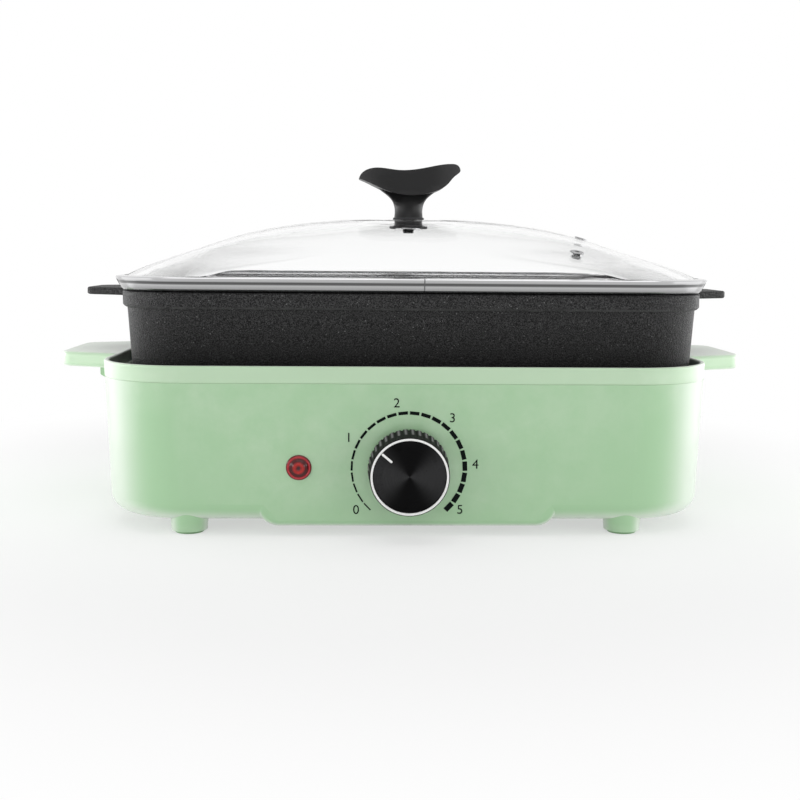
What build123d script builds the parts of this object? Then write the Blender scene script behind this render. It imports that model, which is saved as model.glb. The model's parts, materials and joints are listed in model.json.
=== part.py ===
from build123d import *
import os
from math import atan, cos, degrees, radians, sin, tan

# Electric hot pot: a drafted plastic base with a dial, a deep cast pot that lifts out of it,
# and a loose glass lid in a steel ring. Millimetres, +Z up. The model is drawn about the
# middle of the base and is moved along Y at the end, so that the origin is under the middle
# of the whole object. +X is to the right of someone who faces the dial, -Y is towards them.

# Base housing, outer size at its rim
base_length = 366.0
base_width = 266.0
base_corner_radius = 52.0
base_draft = 1.95  # degrees that each wall leans out
base_floor_z = 8.4  # underside of the housing above the table
base_top_z = 99.55
base_wall = 3.0
base_edge_radius = 11.0  # between wall and underside
collar_height = 10.0  # rim frame above the parting line
collar_edge_radius = 1.2
parting_groove = 0.5
spigot_depth = 6.0  # rim frame's tongue inside the housing
spigot_wall = 2.0
nest_gap = 0.2  # between moulded pieces that nest

# Control bay that hangs below the front of the housing
bay_half_length = 88.0
bay_drop = 2.8
bay_depth = 68.0
bay_corner_radius = 13.0
bay_edge_radius = 4.0

# Side handles on the rim frame and the gussets below them
handle_reach = 39.5  # past the housing wall
handle_root_half = 54.0
handle_tip_half = 36.0
handle_tip_radius = 12.0
handle_edge_radius = 2.8
handle_top_drop = 0.3  # below the rim
gusset_half_length = 40.0
gusset_reach = 13.0
gusset_drop = 5.0
gusset_height = 13.0
root_overlap = 1.5  # how far a handle or an ear starts inside its wall

# Feet
foot_end_inset = 54.6  # from the ends of the base to the feet
foot_side_inset = 17.0
foot_radius = 12.0
foot_tip_radius = 10.6
pad_radius = 8.7
pad_height = 1.5  # shows below the foot
pad_stub_radius = 5.0
pad_stub_height = 3.5

# Bottom cover, flush in a pocket of the underside
cover_end_inset = 58.0  # from the ends of the base to the cover
cover_side_inset = 63.0
cover_y = 22.0
cover_thickness = 2.0
cover_corner_radius = 8.0
cover_ledge = 10.0
cover_frame_height = 4.5
vent_length = 38.0
vent_width = 3.0
vent_pitch = 11.0
vent_rows = 7

# Screws
screw_radius = 1.5
screw_head_radius = 3.3
screw_head_height = 2.0
screw_length = 11.0
screw_clearance = 0.1
boss_radius = 4.2
boss_height = 11.0
hole_gap = 0.3  # round a screw where it passes through
small_chamfer = 0.4

# Reflector tray under the pot
tray_sheet = 0.8
tray_wall_gap = 3.3  # between housing wall and tray wall
tray_flange_drop = 17.3  # below the rim
tray_depth = 29.0
tray_edge_radius = 8.0
tray_post_end_inset = 41.0
tray_post_side_inset = 75.0
tray_spacer_length = 13.0
tray_post_radius = 5.0
rib_thickness = 3.0
rib_height = 26.0
rib_gap = 0.3

# Heating element, a serpentine tube on the tray
heater_tube_radius = 3.5
heater_lift = 1.6  # tube above the tray floor
heater_end_inset = 65.0  # from the ends of the base to the outer runs
heater_side_inset = 55.0
heater_inner_x = 60.0
heater_inner_y = 32.0
heater_bend_radius = 20.0
heater_leg_x = 22.0
heater_leg_bend_radius = 9.0
heater_leg_gap = 1.8  # room for the bend in the tray's hole
heater_leg_drop = 8.0  # below the tray floor
heater_seal_length = 6.0
heater_pin_radius = 1.5
heater_pin_length = 12.0
clip_length = 10.0
clip_width = 15.0
clip_cover = 0.9
clip_foot = 1.0
clip_inner_y = -24.0  # where the inner runs are held

# Studs that the pot stands on
rest_end_inset = 48.0
rest_side_inset = 51.0
rest_radius = 6.0
rest_top_share = 0.8
rest_height = 10.0
seat_gap = 0.2  # between pieces that rest on each other and lift off

# Pot
pot_gap = 9.0  # between pot wall and housing at the rim, where the pot stands in the middle
pot_side_shift = 3.8  # the loose pot stands this far to the right in its well
pot_draft = 3.4
pot_stand = 41.0  # pot's rim above the base's rim
pot_band_height = 9.5
pot_band_step = 2.6
pot_wall = 3.0
pot_floor = 3.6
pot_floor_radius = 20.0
pot_rim_radius = 1.0
pot_band_chamfer = 1.4
pot_shoulder = 3.0  # below the band, where the inside starts to widen
ear_reach = 36.0  # past the band
ear_drop = 5.2  # underside below the pot's rim
ear_thickness = 4.8
ear_root_half = 42.0
ear_tip_half = 22.0
ear_tip_radius = 8.0
ear_edge_radius = 1.4

# Glass dome of the lid
glass_thickness = 3.5
glass_overhang = 0.6  # glass edge past the pot's band
glass_edge_rise = 7.45  # glass edge above the pot's rim
glass_height = 37.85
dome_power = 2.7
dome_crown_half = 15.0
dome_round_start = 0.0  # between these insets the outline goes from the pot's corners to an oval
dome_round_end = 42.0
front_vent_end_inset = 83.5  # from the ends of the base to the steam vents
front_vent_side_inset = 50.0
side_vent_end_inset = 67.0
side_vent_y = -5.0
vent_bore_radius = 1.5
vent_barrel_radius = 2.6
vent_flange_radius = 4.2
vent_flange_height = 0.8
vent_foot_radius = 3.2  # rolled edge under the glass

# Steel ring round the glass
ring_reach = 4.0  # widest edge past the pot's band
ring_widest_low = 8.2  # above the pot's rim
ring_widest_high = 8.6
ring_flare = ((2.0, 0.9), (4.6, 2.4), (6.9, 3.6))  # its skirt: above the rim, past the band
ring_lip_width = 4.9
ring_lip_rise = 0.6
ring_lip_sheet = 0.75
ring_edge_round = 0.4
ring_foot_inset = 1.0
ring_skirt_wall = 1.2
ring_skirt_depth = 6.0
ring_skirt_gap = 0.5
ring_glass_gap = 0.15

# Grip on top of the lid, with what clamps it to the glass
grip_depth = 33.0
grip_plan_half_length = 37.5
grip_outline = (  # side view: along the lid, and above the grip's foot
    (-33.4, 25.3),
    (-30.6, 29.6),
    (-26.4, 31.6),
    (-8.0, 30.7),
    (12.0, 32.6),
    (28.1, 35.2),
    (32.6, 34.2),
    (34.1, 31.0),
    (31.1, 28.0),
    (25.2, 21.7),
    (15.6, 16.6),
    (0.0, 14.5),
    (-16.2, 17.8),
    (-25.0, 21.8),
    (-33.4, 25.3),
)
grip_neck_sections = (  # height above the foot, half length, half depth
    (0.0, 9.6, 9.6),
    (5.0, 9.3, 9.0),
    (10.0, 10.5, 9.6),
    (17.0, 17.5, 12.5),
    (21.0, 21.5, 14.5),
)
grip_hole_spare = 3.0
grip_seal_radius = 10.4
grip_seal_height = 1.2
lower_seal_radius = 12.7
lower_seal_height = 1.5
lower_seal_gap = 0.35
washer_radius = 9.5
washer_height = 1.0
grip_screw_head_radius = 4.2
grip_screw_head_height = 2.5
grip_screw_radius = 2.4
grip_screw_length = 20.0
insert_radius = 4.0
insert_length = 12.0
glass_hole_radius = 4.0

# Dial on the front panel
dial_rise = 31.9  # above the underside of the housing
knob_radius = 23.5
knob_face_radius = 22.5
knob_reach = 22.0  # face of the knob in front of the panel
knob_gap = 1.5
knob_wall = 2.7
knob_top = 4.5
knob_hub_radius = 6.0
knob_groove_count = 36
knob_groove_radius = 0.9
knob_recess = 0.8
knob_rim_wall = 0.4
ring_band = 1.3  # bright ring at the edge of the face
face_disc_gap = 0.05
pointer_outer = 20.6
pointer_inner = 13.0
pointer_width = 1.3
pointer_height = 0.15
pointer_angle = -49.7  # degrees clockwise from straight up
shaft_radius = 3.0
shaft_flat = 1.0
shaft_reach = 15.0
running_gap = 0.05
tick_ring_radius = 32.7
tick_count = 24
tick_first = -133.6
tick_last = 133.6
tick_length = 5.5
tick_thin = 0.75
tick_thick = 3.1
tick_height = 0.12

# Thermostat behind the panel
thermostat_boss_x = 22.5
thermostat_boss_radius = 3.5
thermostat_boss_length = 11.0
bracket_drop = 1.0  # screws below the shaft
bracket_half_length = 28.0
bracket_half_height = 8.0
bracket_sheet = 1.2
bushing_radius = 4.6
bushing_length = 7.0
thermostat_half_length = 17.0
thermostat_low = 11.0
thermostat_high = 8.5
thermostat_depth = 17.5
shaft_socket_depth = 4.0
bracket_screw_length = 7.0
bracket_screw_head_radius = 2.9
bracket_screw_head_height = 1.8

# Indicator lamp
lamp_x = -63.2
lamp_y = 0.6
lens_radius = 7.4
lens_flange = 1.2
lens_dome_radius = 5.9
lens_dome_height = 1.6
lens_barrel_radius = 5.6
lens_barrel_length = 11.0
lens_bore_radius = 4.4
lens_front = 0.6
lens_bevel = 1.4  # round the flat middle of its dome
bulb_radius = 2.6
bulb_length = 9.0
lamp_cap_length = 4.0
lens_clip_radius = 8.6
lens_clip_sheet = 0.8

# Mains inlet in the rear wall
inlet_rise = 24.0
inlet_flange_length = 50.0
inlet_flange_height = 23.0
inlet_flange_thickness = 2.5
inlet_body_length = 28.0
inlet_body_height = 20.0
inlet_body_depth = 21.0
inlet_socket_length = 24.0
inlet_socket_height = 16.0
inlet_socket_depth = 16.0
inlet_pin_pitch = 14.0
inlet_pin_drop = 2.2
inlet_pin_recess = 2.0
inlet_pin_width = 4.0
inlet_pin_thickness = 2.0
inlet_screw_pitch = 40.0
inlet_boss_length = 7.5  # behind the wall's outer face
inlet_socket_corner = 2.5
tab_width = 6.3
tab_thickness = 0.8
tab_length = 8.0

# Spring-loaded sensor in the middle of the tray
sensor_bore_radius = 11.2
sensor_gap = 0.1
sensor_tube_wall = 1.8
sensor_tube_drop = 13.0  # below the tray floor
sensor_tube_rise = 6.0
sensor_tube_floor = 1.2
sensor_flange_radius = 20.0
sensor_flange_sheet = 1.2
sensor_cup_wall = 1.4
sensor_skirt_length = 11.0
sensor_stem_radius = 3.0
sensor_stem_tail = 4.0
sensor_clip_radius = 5.4
sensor_clip_sheet = 0.9
spring_radius = 7.0
spring_wire_radius = 0.6
spring_turns = 6
sensor_clip_slot = 3.2

# Thermal fuse under the tray, and the wiring
fuse_x = -62.0
fuse_y = 31.0
fuse_radius = 2.0
fuse_length = 12.0
fuse_clip_wall = 1.2
fuse_clip_length = 6.0
lead_radius = 1.4
thin_lead_radius = 0.8
sleeve_wall = 0.9
sleeve_length = 12.0
earth_y = 58.0
tag_radius = 4.0
tag_sheet = 1.0
tag_barrel_width = 3.6
tag_barrel_length = 3.0
tag_barrel_reach = 1.2  # past the ring
lead_run = 18.0  # straight run behind a sleeve
live_turns = ((34.0, 22.0), (36.0, -26.0))  # beside the sensor
fuse_lead_turn = (-50.0, -38.0)
fuse_lead_climb = (-18.0, 4.0)  # along the fuse's line, and above the other leads
fuse_lead_run = 16.0  # straight run in front of the fuse
fuse_lead_rear_run = 20.0
pin_lead_run = 18.6  # straight run into the sleeve of a heater pin
neutral_lead_run = 28.0
lamp_lead_ways = ((-1.6, 2.5, 5.0), (1.6, -3.5, 9.5))  # at the lamp, and up and back at the thermostat
lamp_lead_run = 7.0
lamp_lead_bow = 22.0
lamp_lead_stop = 12.0
lead_height = 9.0  # above the housing's floor
flag_half = 3.4  # sleeves on the heater's pins
flag_height = 6.0

# ---------------------------------------------------------------- levels and shapes

half_length = base_length / 2
half_width = base_width / 2
foot_x = half_length - foot_end_inset
foot_y = half_width - foot_side_inset
cover_length = base_length - 2 * cover_end_inset
cover_width = base_width - 2 * cover_side_inset
parting_z = base_top_z - collar_height
dial_z = base_floor_z + dial_rise
inlet_z = base_floor_z + inlet_rise
tray_flange_z = base_top_z - tray_flange_drop
tray_floor_z = tray_flange_z - tray_depth
tray_post_x = half_length - tray_post_end_inset
tray_post_y = half_width - tray_post_side_inset
tray_post_top_z = tray_floor_z - tray_spacer_length
heater_half_length = half_length - heater_end_inset
heater_half_width = half_width - heater_side_inset
heater_leg_bottom_z = tray_floor_z - heater_leg_drop
rest_x = half_length - rest_end_inset
rest_y = half_width - rest_side_inset
sensor_tube_bottom_z = tray_floor_z - sensor_tube_drop
sensor_tube_top_z = tray_floor_z + sensor_tube_rise
pot_rim_z = base_top_z + pot_stand
ear_low_z = pot_rim_z - ear_drop
glass_edge_z = pot_rim_z + glass_edge_rise
ring_widest_low_z = pot_rim_z + ring_widest_low
ring_widest_high_z = pot_rim_z + ring_widest_high
vent_hole_spots = (
    (half_length - front_vent_end_inset, front_vent_side_inset - half_width),
    (half_length - side_vent_end_inset, side_vent_y),
)
bay_floor_z = base_floor_z - bay_drop
inner_floor_z = base_floor_z + base_wall
tray_top_z = tray_floor_z + tray_sheet
heater_z = tray_top_z + heater_lift + heater_tube_radius
pot_bottom_z = tray_top_z + rest_height + seat_gap
ring_foot_z = pot_rim_z + seat_gap
dome_top_z = glass_edge_z + glass_height
tray_inset = base_wall + tray_wall_gap


def base_grow(z):
    """How far the housing wall at height z stands out from the wall at the rim."""
    return (z - base_top_z) * tan(radians(base_draft))


def base_slab(z, inset=0.0):
    grow = base_grow(z) - inset
    outline = RectangleRounded(base_length + 2 * grow, base_width + 2 * grow, base_corner_radius + grow)
    return Pos(0, 0, z) * outline


def base_block(low_z, high_z, inset=0.0):
    return loft([base_slab(low_z, inset), base_slab(high_z, inset)], ruled=True)


def lowest_edges(solid):
    return solid.faces().sort_by(Axis.Z)[0].edges()


def upright_box(x_low, x_high, y_low, y_high, z_low, z_high):
    box = Box(x_high - x_low, y_high - y_low, z_high - z_low)
    return Pos((x_low + x_high) / 2, (y_low + y_high) / 2, (z_low + z_high) / 2) * box


def post(x, y, z_low, z_high, radius, top_radius=None):
    height = z_high - z_low
    middle = Pos(x, y, z_low + height / 2)
    if top_radius is None:
        return middle * Cylinder(radius, height)
    return middle * Cone(radius, top_radius, height)


def tube(x, y, z_low, z_high, radius, bore):
    return post(x, y, z_low, z_high, radius) - post(x, y, z_low - 1, z_high + 1, bore)


def four_corners(x, y):
    return [(x, y), (-x, y), (x, -y), (-x, -y)]


def screw(length=screw_length, head=screw_head_radius, head_height=screw_head_height, shank=screw_radius):
    """A pan-head screw: its head stands on z = 0 and its shank points down."""
    body = post(0, 0, 0, head_height, head, head * 0.86) + post(0, 0, -length, 0, shank)
    slot = Pos(0, 0, head_height) * Box(head * 1.2, head * 0.24, head_height * 0.9)
    return body - slot - Rot(0, 0, 90) * slot


def group(solids):
    return Compound(children=[solid for item in solids for solid in item.solids()])


def wire_lead(points, radius):
    """A lead of straight runs and tangent arcs, as round as its shorter runs allow."""
    places = [Vector(*point) for point in points]
    radii = []
    for before, corner, after in zip(places, places[1:], places[2:]):
        turn = (corner - before).get_angle(after - corner)
        shorter = min((corner - before).length, (after - corner).length)
        radii.append(0.45 * shorter / tan(radians(turn / 2)))
    path = FilletPolyline(*points, radius=radii)
    start = Plane(origin=path @ 0, z_dir=path % 0)
    return sweep(start * Circle(radius), path=path)


# Planes on the outer faces of the front and rear walls, local +Z pointing out of the base
lean = radians(base_draft)
front = Plane(
    origin=(0, -(half_width + base_grow(dial_z)), dial_z),
    x_dir=(1, 0, 0),
    z_dir=(0, -cos(lean), -sin(lean)),
).location
rear = Plane(
    origin=(0, half_width + base_grow(inlet_z), inlet_z),
    x_dir=(-1, 0, 0),
    z_dir=(0, cos(lean), -sin(lean)),
).location


def place_of(frame, x, y, z):
    return tuple((frame * Pos(x, y, z)).position)


# ---------------------------------------------------------------- housing

cover_spots = [
    (x, cover_y + side * (cover_width / 2 - cover_ledge / 2))
    for side in (-1, 1)
    for x in (-(cover_length - cover_ledge) / 2, 0, (cover_length - cover_ledge) / 2)
]
tray_post_spots = four_corners(tray_post_x, tray_post_y)
foot_spots = four_corners(foot_x, foot_y)
lamp_place = front * Pos(lamp_x, lamp_y, 0)
inlet_spots = (-inlet_screw_pitch / 2, inlet_screw_pitch / 2)


def housing_body(inset):
    """The housing's outer form, or the form of its hollow when inset is the wall."""
    top_z = parting_z + inset
    body = base_block(base_floor_z + inset, top_z, inset)
    body = fillet(lowest_edges(body), base_edge_radius - inset)
    front_y = -(half_width + 5)
    bay_back_y = -(half_width - bay_depth) - inset
    low_z = bay_floor_z + inset
    half = bay_half_length - inset
    block = upright_box(-half, half, front_y, bay_back_y, low_z, base_floor_z + 3 * base_edge_radius)
    block = fillet(lowest_edges(block).filter_by(Axis.Y), bay_corner_radius - inset)
    bay = block & base_block(low_z, parting_z, inset)
    front_edge = bay.faces().sort_by(Axis.Z)[0].edges().filter_by(Axis.X)
    bay = fillet(front_edge, bay_edge_radius - inset * 0.9)
    return body + bay


def gusset(side):
    wall_x = half_length + base_grow(parting_z) - 1
    reach_x = wall_x + 1 + gusset_reach
    outline = Polyline(
        (wall_x, parting_z),
        (reach_x, parting_z),
        (reach_x, parting_z - gusset_drop),
        (half_length + base_grow(parting_z - gusset_height), parting_z - gusset_height),
        (wall_x, parting_z - gusset_height),
        close=True,
    )
    face = Plane.XZ * make_face(outline)
    block = extrude(face, amount=gusset_half_length, both=True)
    return block if side > 0 else mirror(block, Plane.YZ)


def tray_ribs():
    """Ribs on the inside of the walls that carry the tray's flange."""
    low_z = tray_flange_z - rib_height
    reach = tray_inset - base_grow(tray_flange_z) - rib_gap
    half = rib_thickness / 2
    ribs = []
    for x in (-half_length * 0.5, 0, half_length * 0.5):
        for side in (-1, 1):
            inner_y = half_width - reach
            low_y, high_y = sorted((side * inner_y, side * half_width))
            ribs.append(upright_box(x - half, x + half, low_y, high_y, low_z, tray_flange_z))
    for y in (-half_width * 0.4, half_width * 0.4):
        for side in (-1, 1):
            inner_x = half_length - reach
            low_x, high_x = sorted((side * inner_x, side * half_length))
            ribs.append(upright_box(low_x, high_x, y - half, y + half, low_z, tray_flange_z))
    outside = base_block(low_z - 1, tray_flange_z + 1, base_wall / 2)
    return [rib & outside for rib in ribs]


def make_base_shell():
    shell = housing_body(0)
    for x, y in foot_spots:
        shell += post(x, y, pad_height, base_floor_z + base_edge_radius, foot_tip_radius, foot_radius)
    for side in (-1, 1):
        shell += gusset(side)
    shell -= housing_body(base_wall)
    frame_height_z = base_floor_z + cover_frame_height
    frame_length = cover_length + 2 * base_wall
    frame_width = cover_width + 2 * base_wall
    cover_place = Pos(0, cover_y, base_floor_z)
    frame_face = RectangleRounded(frame_length, frame_width, cover_corner_radius)
    shell += extrude(cover_place * frame_face, amount=cover_frame_height)
    pocket = RectangleRounded(cover_length, cover_width, cover_corner_radius)
    shell -= extrude(cover_place * pocket, amount=cover_thickness + nest_gap)
    opening_length = cover_length - 2 * cover_ledge
    opening_width = cover_width - 2 * cover_ledge
    opening = RectangleRounded(opening_length, opening_width, cover_corner_radius)
    shell -= extrude(cover_place * opening, amount=cover_frame_height + 1)
    hole = screw_radius + screw_clearance
    for x, y in cover_spots:
        shell += post(x, y, frame_height_z, frame_height_z + boss_height, boss_radius)
        shell -= post(x, y, base_floor_z, base_floor_z + screw_length + 1, hole)
    for x, y in tray_post_spots:
        shell += post(x, y, inner_floor_z, tray_post_top_z, tray_post_radius)
        shell -= post(x, y, tray_post_top_z - screw_length, tray_post_top_z + 1, hole)
    for rib in tray_ribs():
        shell += rib
    for side in (-1, 1):
        length = thermostat_boss_length - base_wall / 2
        boss = Pos(side * thermostat_boss_x, -bracket_drop, -base_wall / 2 - length / 2)
        shell += front * boss * Cylinder(thermostat_boss_radius, length)
        drill = Pos(side * thermostat_boss_x, -bracket_drop, -thermostat_boss_length)
        shell -= front * drill * Cylinder(hole, 2 * (thermostat_boss_length - base_wall))
    shell -= front * Cylinder(bushing_radius + 2 * hole_gap, 3 * base_wall)
    shell -= lamp_place * Cylinder(lens_barrel_radius + nest_gap, 3 * base_wall)
    for x in inlet_spots:
        boss_middle = -(inlet_boss_length + base_wall / 2) / 2
        boss = Cylinder(boss_radius, inlet_boss_length - base_wall / 2)
        shell += rear * Pos(x, 0, boss_middle) * boss
        shell -= rear * Pos(x, 0, -screw_length / 2) * Cylinder(hole, screw_length + 1)
    inlet_hole_length = inlet_body_length + 2 * nest_gap
    inlet_hole_height = inlet_body_height + 2 * nest_gap
    shell -= rear * Box(inlet_hole_length, inlet_hole_height, 2 * inlet_body_depth)
    stub_hole_radius = pad_stub_radius + screw_clearance
    for x, y in foot_spots:
        shell -= post(x, y, pad_height - 1, pad_height + pad_stub_height + nest_gap, stub_hole_radius)
    return shell


def make_rim_frame():
    collar = base_block(parting_z, base_top_z) - base_block(parting_z - 1, base_top_z + 1, base_wall)
    top_edges = collar.faces().sort_by(Axis.Z)[-1].edges()
    collar = fillet(top_edges, collar_edge_radius)
    groove = base_block(parting_z - 1, parting_z + parting_groove, -1)
    collar -= groove - base_block(parting_z - 2, parting_z + 1 + parting_groove, parting_groove)
    tongue_inset = base_wall + nest_gap
    tongue_low_z = parting_z - spigot_depth
    bore = base_block(tongue_low_z - 1, parting_z + 4, tongue_inset + spigot_wall)
    tongue = base_block(tongue_low_z, parting_z + 1, tongue_inset)
    step = base_block(parting_z, parting_z + spigot_wall, base_wall / 2)
    collar += (tongue + step) - bore
    for side in (-1, 1):
        collar += side_handle(side)
    return collar


def ear_plan(root_x, tip_x, root_half, tip_half, tip_radius):
    """Plan of a handle that tapers from the wall to a rounded tip."""
    corners = ((root_x, root_half), (tip_x, tip_half), (tip_x, -tip_half), (root_x, -root_half))
    plan = make_face(Polyline(*corners, close=True))
    return fillet(plan.vertices().group_by(Axis.X)[-1], tip_radius)


def soften_rims(plate, root_x, radius):
    """Rounds the upper and lower rims of a handle, apart from its root."""
    outer = [edge for edge in plate.edges() if edge.center().X > root_x + 0.5]
    return fillet([edge for edge in outer if abs(edge.tangent_at(0.5).Z) < 0.1], radius)


def side_handle(side):
    root_x = half_length + base_grow(parting_z) - root_overlap
    tip_x = half_length + handle_reach
    plan = ear_plan(root_x, tip_x, handle_root_half, handle_tip_half, handle_tip_radius)
    plate = extrude(Pos(0, 0, parting_z) * plan, amount=collar_height - handle_top_drop)
    plate = soften_rims(plate, root_x, handle_edge_radius)
    return plate if side > 0 else mirror(plate, Plane.YZ)


def make_foot_pads():
    pads = []
    for x, y in foot_spots:
        disc = post(x, y, 0, pad_height, pad_radius)
        disc = chamfer(lowest_edges(disc), small_chamfer)
        pads.append(disc + post(x, y, pad_height, pad_height + pad_stub_height, pad_stub_radius))
    return group(pads)


def make_bottom_cover():
    gap = 2 * nest_gap
    outline = RectangleRounded(cover_length - gap, cover_width - gap, cover_corner_radius - nest_gap)
    plate = extrude(Pos(0, cover_y, base_floor_z) * outline, amount=cover_thickness)
    for x, y in cover_spots:
        plate -= post(x, y, base_floor_z - 1, base_floor_z + cover_thickness + 1, screw_radius + hole_gap)
    for side in (-1, 1):
        for row in range(vent_rows):
            y = cover_y + (row - (vent_rows - 1) / 2) * vent_pitch
            slot = SlotOverall(vent_length, vent_width)
            plate -= extrude(Pos(side * vent_length, y, base_floor_z - 1) * slot, amount=cover_thickness + 2)
    return plate


def make_cover_screws():
    return group([Pos(x, y, base_floor_z) * Rot(180, 0, 0) * screw() for x, y in cover_spots])


# ---------------------------------------------------------------- tray and heating

heater_leg_spots = [(-heater_leg_x, heater_half_width), (heater_leg_x, heater_half_width)]


def make_reflector_tray():
    outside = base_block(tray_floor_z, tray_flange_z + tray_sheet, tray_inset)
    outside = fillet(lowest_edges(outside), tray_edge_radius)
    inside = base_block(tray_top_z, tray_flange_z + 2 * tray_sheet, tray_inset + tray_sheet)
    inside = fillet(lowest_edges(inside), tray_edge_radius - tray_sheet)
    flange = base_block(tray_flange_z, tray_flange_z + tray_sheet, base_wall + 2 * nest_gap)
    tray = (outside + flange) - inside
    for x, y in tray_post_spots:
        tray -= post(x, y, tray_floor_z - 1, tray_top_z + 1, screw_radius + hole_gap)
    for x, y in heater_leg_spots:
        tray -= post(x, y, tray_floor_z - 1, tray_top_z + 1, heater_tube_radius + heater_leg_gap)
    guide_hole = sensor_bore_radius + sensor_tube_wall + nest_gap
    tray -= post(0, 0, tray_floor_z - 1, tray_top_z + 1, guide_hole)
    tray -= post(0, earth_y, tray_floor_z - 1, tray_top_z + 1, screw_radius + screw_clearance)
    return tray


def make_tray_spacers():
    bore = screw_radius + hole_gap
    low_z = tray_post_top_z
    return group([tube(x, y, low_z, tray_floor_z, tray_post_radius, bore) for x, y in tray_post_spots])


def make_tray_screws():
    length = tray_top_z - tray_post_top_z + screw_length - 2  # ends short of its hole's end
    return group([Pos(x, y, tray_top_z) * screw(length) for x, y in tray_post_spots])


def heater_path():
    """Centre line of the heating element, from one leg round the serpentine to the other."""
    low_z = heater_leg_bottom_z
    half = [
        (heater_leg_x, heater_half_width),
        (heater_half_length, heater_half_width),
        (heater_half_length, -heater_half_width),
        (heater_inner_x, -heater_half_width),
        (heater_inner_x, heater_inner_y),
    ]
    right = [(x, y, heater_z) for x, y in half]
    left = [(-x, y, z) for x, y, z in reversed(right)]
    points = [(heater_leg_x, heater_half_width, low_z)] + right + left
    points.append((-heater_leg_x, heater_half_width, low_z))
    radii = [heater_leg_bend_radius] + [heater_bend_radius] * (len(points) - 4) + [heater_leg_bend_radius]
    return FilletPolyline(*points, radius=radii)


def make_heating_element():
    path = heater_path()
    start = Plane(origin=path @ 0, z_dir=path % 0)
    return sweep(start * Circle(heater_tube_radius), path=path)


def make_heater_seals():
    high_z = heater_leg_bottom_z
    low_z = high_z - heater_seal_length
    bore = heater_pin_radius
    return group([tube(x, y, low_z, high_z, heater_tube_radius, bore) for x, y in heater_leg_spots])


def make_heater_pins():
    low_z = heater_leg_bottom_z - heater_pin_length
    return group([post(x, y, low_z, heater_leg_bottom_z, heater_pin_radius) for x, y in heater_leg_spots])


def make_heater_clips():
    """Saddles that hold the tube down, one on each long run."""
    arch_half = heater_tube_radius + clip_cover
    top_z = heater_z + arch_half
    foot_top_z = tray_top_z + clip_foot
    bore = heater_tube_radius + screw_clearance
    half = clip_length / 2
    foot_half = clip_width / 2
    clips = []
    for run_x, y in ((heater_half_length, 0), (heater_inner_x, clip_inner_y)):
        for x in (run_x, -run_x):
            foot = upright_box(x - foot_half, x + foot_half, y - half, y + half, tray_top_z, foot_top_z)
            arch = upright_box(x - arch_half, x + arch_half, y - half, y + half, tray_top_z, top_z)
            cut = Pos(x, y, heater_z) * Rot(90, 0, 0) * Cylinder(bore, 2 * clip_length)
            clips.append(foot + arch - cut)
    return group(clips)


def make_pot_rests():
    studs = []
    for x, y in four_corners(rest_x, rest_y):
        top_radius = rest_radius * rest_top_share
        stud = post(x, y, tray_top_z, tray_top_z + rest_height, rest_radius, top_radius)
        studs.append(chamfer(stud.faces().sort_by(Axis.Z)[-1].edges(), small_chamfer))
    return group(studs)


# ---------------------------------------------------------------- sensor

sensor_top_z = pot_bottom_z - 0.3
sensor_cup_radius = sensor_bore_radius - sensor_gap
sensor_tube_radius = sensor_bore_radius + sensor_tube_wall


def make_sensor_guide():
    guide = tube(0, 0, sensor_tube_bottom_z, sensor_tube_top_z, sensor_tube_radius, sensor_bore_radius)
    floor_top_z = sensor_tube_bottom_z + sensor_tube_floor
    guide += post(0, 0, sensor_tube_bottom_z, floor_top_z, sensor_tube_radius)
    flange_low_z = tray_floor_z - sensor_flange_sheet
    guide += tube(0, 0, flange_low_z, tray_floor_z, sensor_flange_radius, sensor_bore_radius)
    return guide - post(0, 0, sensor_tube_bottom_z - 1, floor_top_z + 1, sensor_stem_radius + sensor_gap)


def make_sensor_cup():
    skirt_low_z = sensor_top_z - sensor_skirt_length
    cup = post(0, 0, skirt_low_z, sensor_top_z, sensor_cup_radius)
    cup = chamfer(cup.faces().sort_by(Axis.Z)[-1].edges(), small_chamfer)
    cavity_top_z = sensor_top_z - sensor_cup_wall
    cup -= post(0, 0, skirt_low_z - 1, cavity_top_z, sensor_cup_radius - sensor_cup_wall)
    return cup + post(0, 0, sensor_tube_bottom_z - sensor_stem_tail, cavity_top_z, sensor_stem_radius)


def make_sensor_clip():
    high_z = sensor_tube_bottom_z - nest_gap
    ring = tube(0, 0, high_z - sensor_clip_sheet, high_z, sensor_clip_radius, sensor_stem_radius + 0.02)
    half = sensor_clip_slot / 2
    return ring - upright_box(0, 2 * sensor_clip_radius, -half, half, high_z - 5, high_z + 5)


def make_sensor_spring():
    low_z = sensor_tube_bottom_z + sensor_tube_floor + spring_wire_radius
    high_z = sensor_top_z - sensor_cup_wall - spring_wire_radius - screw_clearance
    coil = Helix(pitch=(high_z - low_z) / spring_turns, height=high_z - low_z, radius=spring_radius)
    start = Plane(origin=coil @ 0, z_dir=coil % 0)
    spring = sweep(start * Circle(spring_wire_radius), path=coil)
    return Pos(0, 0, low_z) * spring


# ---------------------------------------------------------------- pot

band_half_length = half_length - base_wall - pot_gap
band_half_length += (pot_rim_z - pot_band_height - base_top_z) * tan(radians(pot_draft)) + pot_band_step
band_inset = half_length - band_half_length  # the band's wall, measured in from the base's rim


def pot_slab(z, grow):
    outline = RectangleRounded(
        base_length - 2 * band_inset + 2 * grow,
        base_width - 2 * band_inset + 2 * grow,
        base_corner_radius + grow - band_inset / 2,
    )
    return Pos(0, 0, z) * outline


def pot_stack(levels):
    """A solid through outlines at each (height, growth past the band)."""
    return loft([pot_slab(z, grow) for z, grow in levels], ruled=True)


def pot_wall_grow(z):
    low_band_z = pot_rim_z - pot_band_height
    return (z - low_band_z) * tan(radians(pot_draft)) - pot_band_step


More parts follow.
